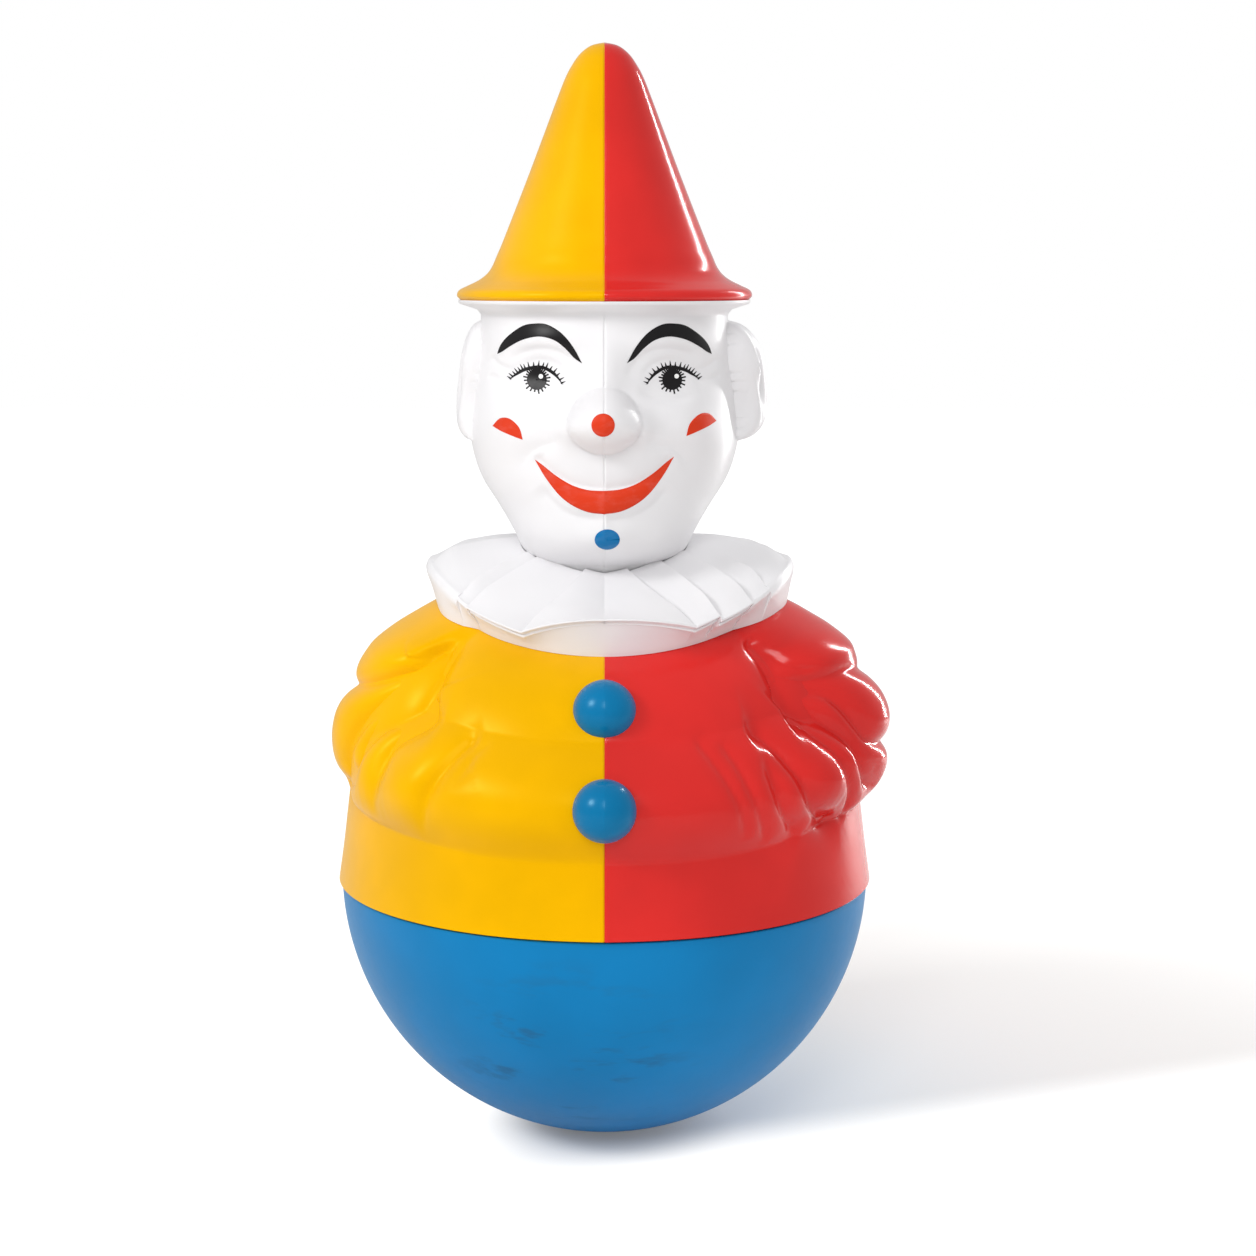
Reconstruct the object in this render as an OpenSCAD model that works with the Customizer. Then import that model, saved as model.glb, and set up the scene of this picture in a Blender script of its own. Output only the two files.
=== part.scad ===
// Roly poly clown with a chime inside.
// A heavy round base carries a hollow figure made of right and left half shells.
// Right and left are the clown's own: the right side is yellow and the left side is red.
// The clown faces -Y, the seam between the halves lies in the plane X = 0, and the origin
// is the centre of the small flat that the toy rests on.

/* [Base] */
// Outer radius of the round base
base_r = 61.7; // [58:0.1:66]
// How far the rim lies below the ball's widest circle
rim_drop = 1.1; // [0:0.1:3]
// Wall of the base bowl
base_wall = 2.4; // [1.8:0.1:3.2]
// Diameter of the flat at the pole
rest_flat_d = 16; // [10:1:20]
// Height of the ring that plugs into the body
base_ring_h = 6; // [4:0.5:9]
// Wall of that ring
base_ring_wall = 2; // [1.5:0.1:3]

/* [Body] */
// How far the body's foot stands out over the base
foot_step = 0.7; // [0.3:0.1:1.2]
// Height of the body above the base, at the sides of the neck
body_h = 71.5; // [66:0.5:78]
// Wall of the body shells
body_wall = 2.2; // [1.6:0.1:3]
// How much lower the neck hole lies at the chest
chest_drop = 9.2; // [5:0.1:11]
// How much lower the neck hole lies at the back
back_drop = 5; // [3:0.5:9]
// Clear distance between the body and the neck
neck_gap = 3.5; // [2.5:0.25:5]
// How far the upper arm and the elbow stand out
arm_rise = 11; // [8:0.5:12]
// Half the width of the sleeve at the shoulder
sleeve_half_w = 21; // [17:0.5:24]

/* [Collar] */
// Outer radius of the frill
collar_r = 42.8; // [41:0.2:46]
// Height of the band under the frill
collar_band_h = 10; // [8:0.25:12]
// Wall of the collar shells
collar_wall = 1.8; // [1.4:0.1:2.4]
// Clear distance between the collar's hole and the jaw
collar_gap = 0.5; // [0.4:0.1:1.5]
// Step between one pleat and the next
pleat_step = 1.8; // [0.8:0.1:2.4]

/* [Head] */
// Height from the neck to the seat of the hat
head_h = 59; // [55:0.5:64]
// Largest radius of the face, without nose and ears
head_r = 30.8; // [29:0.2:32]
// Wall of the head shells
head_wall = 2; // [1.5:0.1:2.6]
// Outer radius of the neck
neck_r = 18; // [16:0.25:19]
// Length of neck below the head
neck_l = 19; // [14:0.5:24]
// Height of the jaw above the body's top
jaw_rise = 3.5; // [3:0.25:6]
// Half the width of the nose
nose_half_w = 6.8; // [5:0.2:9]
// How far the nose stands out
nose_rise = 8; // [6:0.5:11]
// Half the height of an ear
ear_half_h = 13.5; // [10:0.5:16]
// How far an ear stands out
ear_rise = 6; // [3:0.2:8]

/* [Hat] */
// Height of the hat
hat_h = 57.5; // [50:0.5:66]
// Radius of the brim
brim_r = 33.7; // [31:0.2:36]
// Wall of the hat shells
hat_wall = 1.8; // [1.4:0.1:2.4]
// Height of the ring on the head that the hat sits over
hat_ring_h = 5.5; // [4:0.25:6.5]

/* [Buttons] */
// Diameter of a button
button_d = 13.5; // [11:0.25:15]
// How far a button stands out
button_rise = 5.6; // [4:0.1:6.5]
// Depth of the flat seat under a button
button_seat = 0.8; // [0.6:0.1:1.1]
// Diameter of a button's shank
shank_d = 5; // [3:0.25:6]
// Length of a button's shank
shank_l = 4; // [3:0.25:6]

/* [Weight] */
// Height of the cast weight
weight_h = 16; // [12:0.5:18]
// Diameter of the cast weight
weight_d = 76; // [70:0.5:78]
// Diameter of the post in the base that the weight sits over
boss_d = 12; // [10:0.5:16]
// Diameter of the screw that clamps the weight
screw_d = 4; // [3:0.25:5]
// Length of that screw's shank
screw_l = 15; // [10:0.5:17]
// Diameter of its head
screw_head_d = 9; // [7:0.25:11]
// Height of its head
screw_head_h = 2.6; // [2:0.1:3.5]
// Diameter of its washer
washer_d = 14; // [11:0.5:18]
// Thickness of its washer
washer_t = 1; // [0.6:0.1:1.6]

/* [Chime] */
// Clear distance between the bowl and the plate that holds the rods
plate_gap = 3.2; // [2.5:0.1:5]
// Thickness of that plate
plate_t = 3; // [2:0.25:4]
// Diameter of a chime rod
rod_d = 3.2; // [2.4:0.1:3.4]
// Diameter of the circle that the rods stand on
rod_circle_d = 48; // [47.5:0.25:51]
// Free length of the rod with the lowest note
longest_rod = 60; // [50:0.5:66]
// Diameter of the two posts
post_d = 5; // [4:0.25:6]
// Distance from a post's middle to the plate's edge
post_inset = 4; // [3.5:0.25:6]
// Height of the bridge over the plate
bridge_h = 72; // [70:0.5:76]
// Width of the bridge bar
bar_w = 10; // [9:0.5:13]
// Thickness of the bridge bar
bar_t = 3; // [2:0.25:4]
// Diameter of the thread on each end of a post
thread_d = 3.5; // [3:0.25:3.75]

/* [Clapper] */
// Diameter of the two hinge pins
pin_d = 3; // [2.5:0.1:3.4]
// Distance between the two hinge pins
link_l = 13; // [12.5:0.5:15]
// Thickness of the link's eyes
eye_t = 3; // [2.5:0.25:4]
// Diameter of the link's eyes
eye_d = 8; // [7:0.25:8.5]
// Thickness of the ears and fork arms beside the eyes
ear_t = 2.2; // [1.6:0.1:3]
// Clear height between the clamp screw's head and the ball
ball_gap = 6.8; // [4:0.2:9]
// Diameter of the clapper ball
ball_d = 18; // [15:0.25:18.25]
// Diameter of the clapper's stem
stem_d = 3.5; // [3:0.1:4]

/* [Hidden] */
$fn = 96;

yellow = "#f4b400";
red = "#d7262b";
white = "#f4f2f0";
blue = "#1f74ba";
iron = "#4a4c50";
steel = "#b4b8bd";
nylon = "#ded8c8";

// Clearances: beside seats, under screws and pins, and past a cut's own faces
seat_gap = 0.3;
hole_gap = 0.05;
running_gap = 0.06;
side_gap = 0.2;
overrun = 1;

// Heights above the flat
bowl_z = sqrt(pow(base_r, 2) - pow(rest_flat_d / 2, 2));
rim_z = bowl_z - rim_drop;
bowl_inner_r = base_r - base_wall;
weight_z = bowl_z - bowl_inner_r + seat_gap;
plate_z = weight_z + weight_h;
plate_top_z = plate_z + plate_t;
bar_z = plate_top_z + bridge_h;
jaw_z = rim_z + body_h + jaw_rise;
hat_seat_z = jaw_z + head_h;

// Sizes that follow from their neighbours
foot_r = base_r + foot_step;
hat_ring_share = 0.712;
hat_ring_r = hat_ring_share * brim_r;
neck_hole_r = neck_r + neck_gap;
plate_d = 2 * (sqrt(pow(bowl_inner_r, 2) - pow(bowl_z - plate_z, 2)) - plate_gap);
post_span = plate_d - 2 * post_inset;

// The pins hang below the bar by a share of the eye's diameter
pin_hang_share = 0.7;
upper_pin_z = bar_z - pin_hang_share * eye_d;
lower_pin_z = upper_pin_z - link_l;
ball_z = plate_top_z + washer_t + screw_head_h + ball_gap + ball_d / 2;

// Tables of [height share, radius share]
torso_shares = [
    [0, 1], [0.12, 0.98], [0.24, 0.963], [0.36, 0.945], [0.5, 0.912], [0.64, 0.862],
    [0.75, 0.796], [0.84, 0.712], [0.91, 0.608], [0.96, 0.48], [1, 0.344]
];
face_side_shares = [
    [0, 0.594], [0.042, 0.61], [0.092, 0.638], [0.143, 0.69], [0.227, 0.8], [0.303, 0.9],
    [0.378, 0.961], [0.479, 1], [0.613, 0.98], [0.748, 0.948], [0.866, 0.925], [0.955, 0.916]
];
face_front_shares = [
    [0, 0.62], [0.042, 0.79], [0.092, 0.9], [0.143, 0.955], [0.227, 0.985], [0.303, 1.003],
    [0.378, 1.013], [0.479, 1.013], [0.613, 0.98], [0.748, 0.942], [0.866, 0.925], [0.955, 0.916]
];
face_back_shares = [
    [0, 0.584], [0.042, 0.587], [0.092, 0.597], [0.143, 0.623], [0.227, 0.724], [0.303, 0.844],
    [0.378, 0.942], [0.479, 1.013], [0.613, 1.04], [0.748, 1.02], [0.866, 0.974], [0.955, 0.93]
];
flare_share = 0.943;
rim_edge_share = 0.985;
// The inside of the hat's seat: [share of the way in to the ring, share of the way up]
seat_shares = [[0.5, 0], [0.8, 0.3], [1, 0.6]];

// Each point of the arm: [share of the half turn, height share, width share, rise share, edge power]
arm_shares = [
    [0.4, 0.9, 1.14, 0.86, 0.7], [0.405, 0.74, 1.16, 0.84, 0.7], [0.42, 0.61, 1.06, 0.88, 0.7],
    [0.42, 0.54, 0.86, 0.72, 0.7], [0.34, 0.48, 0.68, 0.62, 0.7], [0.25, 0.47, 0.65, 0.5, 0.7],
    [0.12, 0.46, 0.65, 0.44, 0.8], [0, 0.46, 0.65, 0.42, 0.85]
];
// The arm fades into the shoulder under the collar: [height share, share of its rise]
arm_fade_shares = [[0, 1], [0.78, 1], [0.84, 0.75], [0.88, 0.45], [0.915, 0.25], [0.96, 0], [1, 0]];
arm_hollow_share = 0.7;
// How much more the left arm stands out than the right one, as a share of its rise
arm_skew_share = 0.2;
collar_skew_share = 0.04;
ear_skew_share = 0.3;
body_rows = 26;
body_steps = 30;
edge_share = 0.08;
// Step to each side when a slope is taken
slope_share = 0.02;
// How fast the front and the back give way to the sides
side_power = 1.5;

// Where the collar sits on the body, how its frill hangs, and its pleats' edges round half a turn
hem_share = 0.915;
hem_inner_share = 0.945;
collar_rise_share = 0.24;
collar_fall_share = 0.31;
band_front_share = 0.83;
collar_front_share = 0.96;
pleat_edge_shares = [0, 0.155, 0.225, 0.33, 0.46, 0.59, 0.72, 0.86, 1];
pleat_step_shares = [0.02, 0.35, 0.7, 0.98];
pleat_middle_share = 0.5;
pleat_row_shares = [0, 0, 0.9, 1, 0.8, 0.55, 0.3];

// Places on the head, as shares of its height or of half a turn
nose_share = 0.561;
nose_h_share = 0.95;
ear_turn_share = 0.5;
ear_share = 0.689;
ear_half_turn_share = 0.06;
head_rows = 26;
head_step_shares = [
    0, 0.014, 0.028, 0.042, 0.056, 0.075, 0.1, 0.13, 0.165, 0.2, 0.24, 0.28, 0.32, 0.36, 0.4, 0.44,
    0.47, 0.487, 0.5, 0.513, 0.525, 0.54, 0.556, 0.566, 0.58, 0.61, 0.66, 0.71, 0.77, 0.84, 0.92, 0.96, 1
];

// Outline of the hat from the brim to the tip: [share of the brim's radius, share of the height]
hat_shares = [
    [0.976, 0], [1, 0.016], [0.985, 0.038], [0.925, 0.056], [0.855, 0.076], [0.8, 0.1], [0.762, 0.13],
    [0.728, 0.175], [0.68, 0.24], [0.52, 0.475], [0.418, 0.63], [0.32, 0.78], [0.268, 0.856],
    [0.225, 0.905], [0.165, 0.954], [0.09, 0.987], [0, 1]
];
hat_curve_steps = 4;
socket_gap_share = 0.26;

// Heights of the buttons on the chest
upper_button_share = 0.765;
lower_button_share = 0.455;
// Rim of a button below its dome, as a share of its rise
button_rim_share = 0.15;

// Chime rods: frequency ratios of a scale, and how far each pair spreads from its axis in degrees
note_ratios = [1, 9 / 8, 5 / 4, 4 / 3, 3 / 2, 5 / 3, 15 / 8, 2];
rod_spread = 18;
quarter_turn = 90;
post_turn = 45;
half_turn = 180;
nut_share = 1.9;
nut_h_share = 0.8;
slot_share = 0.25;
pin_head_share = 1.5;
pin_head_h_share = 0.4;
fork_drop_share = 0.75;
stem_in_ball_share = 0.7;
link_neck_share = 0.9;
// The neck's rise from its tube to the jaw, as a share of its length below the head
neck_turn_share = 0.12;

// Smooth curve through a table of [place, value] points
function table_slope(table, i) =
    let (a = table[max(i - 1, 0)], b = table[min(i + 1, len(table) - 1)])
    (b[1] - a[1]) / (b[0] - a[0]);
function between(table, i, t) =
    let (
        h = table[i + 1][0] - table[i][0],
        s = (t - table[i][0]) / h,
        r = 1 - s
    )
    (1 + 2 * s) * r * r * table[i][1] + s * r * r * h * table_slope(table, i)
    + s * s * (3 - 2 * s) * table[i + 1][1] - s * s * r * h * table_slope(table, i + 1);
function curve(table, t, i = 0) =
    t <= table[0][0] ? table[0][1]
    : t >= table[len(table) - 1][0] ? table[len(table) - 1][1]
    : t > table[i + 1][0] ? curve(table, t, i + 1)
    : between(table, i, t);

// Smooth path through points in a plane, with the same number of steps between each pair
function path_point(p, i, s) =
    let (
        n = len(p) - 1,
        a = p[max(i - 1, 0)], b = p[i], c = p[i + 1], d = p[min(i + 2, n)]
    )
    (2 * b + (c - a) * s + (2 * a - 5 * b + 4 * c - d) * s * s + (3 * b - a - 3 * c + d) * s * s * s) / 2;
function smooth_path(p, steps) = concat(
    [for (i = [0:len(p) - 2], k = [0:steps - 1]) path_point(p, i, k / steps)],
    [p[len(p) - 1]]
);

// A point at a turn from the front, on the clown's left
function polar(r, turn, z) = [r * sin(turn), -r * cos(turn), z];
// Share of the front and of the back in what is seen at a turn
function front(turn) = pow(max(0, cos(turn)), side_power);
function back(turn) = pow(max(0, -cos(turn)), side_power);
function mix(a, b, s) = a + (b - a) * s;

// Closed half shell between an outer and an inner net of points.
// Rows run upwards, and the points of a row run from the front seam to the back seam.
// An inner row holds one point for each `step` points of an outer row.
module half_shell(outer, inner) {
    rows = len(outer) - 1;
    n = len(outer[0]) - 1;
    k = len(inner[0]) - 1;
    step = n / k;
    first = len(outer) * (n + 1);
    o = function (i, j) i * (n + 1) + j;
    q = function (i, j) first + i * (k + 1) + j;
    points = concat([for (row = outer) each row], [for (row = inner) each row]);
    outside = [
        for (i = [0:rows - 1], j = [0:n - 1])
        each [[o(i, j), o(i + 1, j), o(i + 1, j + 1)], [o(i, j), o(i + 1, j + 1), o(i, j + 1)]]
    ];
    inside = [
        for (i = [0:rows - 1], j = [0:k - 1])
        each [[q(i, j), q(i + 1, j + 1), q(i + 1, j)], [q(i, j), q(i, j + 1), q(i + 1, j + 1)]]
    ];
    seams = [
        for (i = [0:rows - 1])
        each [
            [o(i, 0), q(i, 0), q(i + 1, 0)], [o(i, 0), q(i + 1, 0), o(i + 1, 0)],
            [o(i, n), q(i + 1, k), q(i, k)], [o(i, n), o(i + 1, n), q(i + 1, k)]
        ]
    ];
    edges = [
        for (j = [0:k - 1])
        each concat(
            [for (s = [0:step - 1]) [o(0, step * j + s), o(0, step * j + s + 1), q(0, j)]],
            [[o(0, step * (j + 1)), q(0, j + 1), q(0, j)]],
            [for (s = [0:step - 1]) [o(rows, step * j + s), q(rows, j), o(rows, step * j + s + 1)]],
            [[o(rows, step * (j + 1)), q(rows, j), q(rows, j + 1)]]
        )
    ];
    polyhedron(points = points, faces = concat(outside, inside, seams, edges));
}

// The body's surface
function body_top_z(turn) = rim_z + body_h - chest_drop * front(turn) - back_drop * back(turn);
function body_z(u, turn) = mix(rim_z, body_top_z(turn), u);
function last(list) = list[len(list) - 1];
function torso_r(u) =
    mix(foot_r, neck_hole_r, u) + foot_r * (curve(torso_shares, u) - mix(1, last(torso_shares)[1], u));
function arm_place(turn, u) = [foot_r * turn * PI / half_turn, body_h * u];
function arm_point(i) = arm_place(arm_shares[i][0] * half_turn, arm_shares[i][1]);
function arm_stretch(p, i) =
    let (
        a = arm_point(i),
        b = arm_point(i + 1),
        s = min(1, max(0, (p - a) * (b - a) / ((b - a) * (b - a)))),
        away = norm(p - a - s * (b - a)) / (sleeve_half_w * mix(arm_shares[i][2], arm_shares[i + 1][2], s))
    )
    arm_rise * mix(arm_shares[i][3], arm_shares[i + 1][3], s)
    * pow(max(0, 1 - away * away), mix(arm_shares[i][4], arm_shares[i + 1][4], s));
function arm_bump(turn, u) =
    curve(arm_fade_shares, u)
    * max([for (i = [0:len(arm_shares) - 2]) arm_stretch(arm_place(turn, u), i)]);
// A half's hand is 1 on the clown's left and -1 on its right
function body_r(u, turn, hand = 1) = torso_r(u) + arm_bump(turn, u) * (1 + hand * arm_skew_share * sin(turn));
function body_point(u, turn, hand = 1) = polar(body_r(u, turn, hand), turn, body_z(u, turn));
// Direction across the wall in the plane through the axis: [outwards, upwards]
function torso_normal(u) =
    let (
        low = max(0, u - slope_share),
        high = min(1, u + slope_share),
        run = torso_r(high) - torso_r(low),
        rise = body_h * (high - low)
    )
    [rise, -run] / norm([rise, run]);
function body_inner_point(u, turn) =
    let (across = body_wall * torso_normal(u))
    polar(
        torso_r(u) - across[0] + arm_hollow_share * arm_bump(turn, u),
        turn,
        body_z(u, turn) - across[1] * min(1, u / edge_share)
    );

// The head's surface
function face_r(w, turn) =
    let (side = curve(face_side_shares, w))
    head_r * (
        side + (curve(face_front_shares, w) - side) * front(turn)
        + (curve(face_back_shares, w) - side) * back(turn)
    );
function dome(a, b) = sqrt(max(0, 1 - a * a - b * b));
function nose_bump(w, turn) =
    nose_rise * dome(
        head_r * turn * PI / half_turn / nose_half_w,
        head_h * (w - nose_share) / (nose_h_share * nose_half_w)
    );
function ear_bump(w, turn, hand) =
    ear_rise * (1 + hand * ear_skew_share) * dome(
        (turn / half_turn - ear_turn_share) / ear_half_turn_share,
        head_h * (w - ear_share) / ear_half_h
    );
function head_row(w, skin, hand) = [
    for (share = head_step_shares)
    let (turn = share * half_turn, bumps = skin == 0 ? nose_bump(w, turn) + ear_bump(w, turn, hand) : 0)
    polar(face_r(w, turn) - skin + bumps, turn, jaw_z + head_h * w)
];
function ring_row(r, z) = [for (share = head_step_shares) polar(r, share * half_turn, z)];

module half_head(hand) {
    face_shares = [for (i = [0:head_rows]) flare_share * i / head_rows];
    flare_r = head_r * last(face_side_shares)[1];
    rim_r = brim_r - seat_gap;
    edge_z = jaw_z + head_h * rim_edge_share;
    ring_inner_r = hat_ring_r - head_wall;
    foot_z = jaw_z - neck_l;
    turn_z = jaw_z - neck_turn_share * neck_l;
    outer = concat(
        [for (z = [foot_z, turn_z]) ring_row(neck_r, z)],
        [for (w = face_shares) head_row(w, 0, hand)],
        [
            ring_row(rim_r, edge_z), ring_row(rim_r, hat_seat_z),
            ring_row(hat_ring_r, hat_seat_z), ring_row(hat_ring_r, hat_seat_z + hat_ring_h)
        ]
    );
    inner = concat(
        [for (z = [foot_z, turn_z]) ring_row(neck_r - head_wall, z)],
        [for (w = face_shares) head_row(w, head_wall, hand)],
        [
            for (share = seat_shares)
            ring_row(mix(flare_r, hat_ring_r, share[0]) - head_wall, mix(edge_z, hat_seat_z, share[1]))
        ],
        [ring_row(ring_inner_r, hat_seat_z + hat_ring_h)]
    );
    half_shell(outer, inner);
}

// The collar: rows run from the hem up the band, over the rim and in to the neck
pleats = len(pleat_edge_shares) - 1;
collar_turns = concat(
    [0],
    [
        for (i = [0:pleats - 1], s = pleat_step_shares)
        half_turn * mix(pleat_edge_shares[i], pleat_edge_shares[i + 1], s)
    ],
    [half_turn]
);
// How far across its pleat a turn lies
function pleat_share(turn, i = 0) =
    turn >= half_turn * pleat_edge_shares[i + 1] && i < pleats - 1 ? pleat_share(turn, i + 1)
    : (turn / half_turn - pleat_edge_shares[i]) / (pleat_edge_shares[i + 1] - pleat_edge_shares[i]);
// The band's middle, the rim and the steps across the frill, as shares of the way
band_middle_share = 0.5;
frill_shares = [0.04, 0.3, 0.6, 1];
function collar_section(turn, skin, hand) =
    let (
        hem = body_point(skin == 0 ? hem_share : hem_inner_share, turn, hand) + [0, 0, seat_gap],
        hem_r = norm([hem[0], hem[1]]),
        seat_z = body_z(hem_share, turn),
        swell = mix(1, collar_front_share, front(turn) + back(turn)) + hand * collar_skew_share * sin(turn),
        rim_r = collar_r * swell - skin,
        rim_z = seat_z + collar_band_h * mix(1, band_front_share, front(turn) + back(turn)) - skin,
        neck_z = jaw_z + collar_rise_share * neck_l
            - collar_fall_share * neck_l * (front(turn) + collar_rise_share * back(turn)) - skin,
        hole_r = max(neck_r, face_r(max(0, (neck_z - jaw_z) / head_h), turn)) + collar_gap,
        step = skin == 0 ? pleat_step * (pleat_share(turn) - pleat_middle_share) : 0
    )
    concat(
        [
            [hem_r, hem[2]],
            [mix(hem_r, rim_r, band_middle_share), mix(hem[2], rim_z, band_middle_share)],
            [rim_r, rim_z - pleat_step / 2]
        ],
        [for (s = frill_shares) [mix(rim_r, hole_r, s), mix(rim_z, neck_z, s)]]
    )
    + [for (share = pleat_row_shares) [0, share * step]];
function collar_net(skin, hand) =
    let (sections = [for (turn = collar_turns) collar_section(turn, skin, hand)])
    [
        for (i = [0:len(pleat_row_shares) - 1])
        [for (j = [0:len(collar_turns) - 1]) polar(sections[j][i][0], collar_turns[j], sections[j][i][1])]
    ];
module half_collar(hand) {
    half_shell(collar_net(0, hand), collar_net(collar_wall, hand));
}

// A button's place: moves its children onto the chest with their Z axis across the wall
module at_button(u) {
    slope = body_point(u + slope_share, 0) - body_point(u - slope_share, 0);
    translate(body_point(u, 0))
    rotate([atan2(slope[2], slope[1]), 0, 0])
    translate([0, 0, -button_seat])
    children();
}
module button() {
    rim_h = button_rim_share * button_rise;
    r = button_d / 2;
    cap_h = button_rise + button_seat - rim_h;
    ball_r = (r * r + cap_h * cap_h) / (2 * cap_h);
    cylinder(h = rim_h, d = button_d);
    intersection() {
        translate([0, 0, rim_h]) cylinder(h = cap_h, d = button_d);
        translate([0, 0, rim_h + cap_h - ball_r]) sphere(r = ball_r);
    }
    translate([0, 0, -shank_l]) cylinder(h = shank_l + rim_h, d = shank_d);
}
module button_seat_cut() {
    cylinder(h = button_d, d = button_d + 2 * hole_gap);
    translate([0, 0, -button_d]) cylinder(h = button_d + overrun, d = shank_d + 2 * hole_gap);
}

module half_body(hand) {
    outer = [
        for (i = [0:body_rows])
        [for (j = [0:body_steps]) body_point(i / body_rows, half_turn * j / body_steps, hand)]
    ];
    inner = [
        for (i = [0:body_rows])
        [for (j = [0:2:body_steps]) body_inner_point(i / body_rows, half_turn * j / body_steps)]
    ];
    difference() {
        half_shell(outer, inner);
        at_button(upper_button_share) button_seat_cut();
        at_button(lower_button_share) button_seat_cut();
    }
}

// The hat's outline, turned through half a circle
module half_hat() {
    outer = smooth_path([for (p = hat_shares) [p[0] * brim_r, p[1] * hat_h]], hat_curve_steps);
    socket_h = hat_ring_h * (1 + socket_gap_share);
    socket_r = hat_ring_r + seat_gap;
    inner = [
        for (i = [1:len(outer) - 2])
        let (run = outer[i + 1] - outer[i - 1], across = hat_wall * [run[1], -run[0]] / norm(run))
        if (outer[i][1] - across[1] > socket_h && outer[i][0] - across[0] < socket_r) outer[i] - across
    ];
    translate([0, 0, hat_seat_z])
    rotate([0, 0, -quarter_turn])
    rotate_extrude(angle = half_turn)
    polygon(concat(
        outer,
        [[0, hat_h - hat_wall]],
        [for (i = [len(inner) - 1:-1:0]) inner[i]],
        [[socket_r, socket_h], [socket_r, 0]]
    ));
}

// The base and what it holds
module base_bowl() color(blue) {
    ring_r = torso_r(base_ring_h / body_h) * cos(half_turn / body_steps) - body_wall - seat_gap;
    ring_foot_r = base_r - base_wall / 2;
    boss_top_z = plate_z - seat_gap;
    difference() {
        union() {
            difference() {
                translate([0, 0, bowl_z]) sphere(r = base_r);
                translate([0, 0, bowl_z]) sphere(r = bowl_inner_r);
                translate([-base_r, -base_r, rim_z])
                cube([2 * base_r, 2 * base_r, base_r + rim_drop + overrun]);
                translate([-base_r, -base_r, -base_r]) cube([2 * base_r, 2 * base_r, base_r]);
            }
            difference() {
                union() {
                    translate([0, 0, rim_z - base_ring_h]) cylinder(h = base_ring_h, r = ring_foot_r);
                    translate([0, 0, rim_z - base_ring_h]) cylinder(h = 2 * base_ring_h, r = ring_r);
                }
                translate([0, 0, rim_z - base_ring_h - overrun])
                cylinder(h = 2 * (base_ring_h + overrun), r = ring_r - base_ring_wall);
            }
            translate([0, 0, base_wall / 2]) cylinder(h = boss_top_z - base_wall / 2, d = boss_d);
        }
        translate([0, 0, base_wall]) cylinder(h = boss_top_z, d = screw_d + 2 * hole_gap);
    }
}
module weight() color(iron) difference() {
    intersection() {
        translate([0, 0, bowl_z]) sphere(r = bowl_inner_r - seat_gap);
        translate([0, 0, weight_z]) cylinder(h = weight_h, d = weight_d);
    }
    translate([0, 0, weight_z - overrun]) cylinder(h = weight_h + 2 * overrun, d = boss_d + 2 * seat_gap);
}
module clamp_washer() color(steel) translate([0, 0, plate_top_z]) difference() {
    cylinder(h = washer_t, d = washer_d);
    translate([0, 0, -overrun]) cylinder(h = washer_t + 2 * overrun, d = screw_d + 2 * side_gap);
}
module clamp_screw() color(steel) translate([0, 0, plate_top_z + washer_t]) difference() {
    union() {
        cylinder(h = screw_head_h, d = screw_head_d);
        translate([0, 0, -screw_l]) cylinder(h = screw_l, d = screw_d);
    }
    translate([-screw_head_d, -slot_share * screw_d / 2, screw_head_h / 2])
    cube([2 * screw_head_d, slot_share * screw_d, screw_head_h]);
}

// The chime: rods stand in pairs round the plate, and two posts carry the bridge
module at_rod(i) {
    side = i % 2 == 0 ? -1 : 1;
    rotate([0, 0, quarter_turn * floor(i / 2) + side * rod_spread])
    translate([rod_circle_d / 2, 0, plate_z])
    children();
}
module at_posts() {
    for (side = [0, half_turn]) rotate([0, 0, post_turn + side]) translate([post_span / 2, 0, 0]) children();
}
module chime_plate() color(steel) difference() {
    translate([0, 0, plate_z]) cylinder(h = plate_t, d = plate_d);
    translate([0, 0, plate_z - overrun]) cylinder(h = plate_t + 2 * overrun, d = screw_d + 2 * side_gap);
    for (i = [0:len(note_ratios) - 1])
        at_rod(i) translate([0, 0, -overrun]) cylinder(h = plate_t + 2 * overrun, d = rod_d + 2 * hole_gap);
    at_posts() translate([0, 0, plate_z - overrun])
        cylinder(h = plate_t + 2 * overrun, d = thread_d + 2 * hole_gap);
}
module chime_rod(i) color(steel)
    at_rod(i) cylinder(h = plate_t + longest_rod / sqrt(note_ratios[i]), d = rod_d);
module bridge_posts() color(steel) at_posts() {
    translate([0, 0, plate_z]) cylinder(h = plate_t + bridge_h / 2, d = thread_d);
    translate([0, 0, plate_top_z]) cylinder(h = bridge_h, d = post_d);
    translate([0, 0, bar_z - bridge_h / 2])
    cylinder(h = bridge_h / 2 + bar_t + nut_h_share * post_d, d = thread_d);
}
module bridge_nuts() color(steel) at_posts() translate([0, 0, bar_z + bar_t]) difference() {
    cylinder(h = nut_h_share * post_d, d = nut_share * post_d, $fn = 6);
    translate([0, 0, -overrun]) cylinder(h = post_d + 2 * overrun, d = thread_d + 2 * hole_gap);
}

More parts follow.
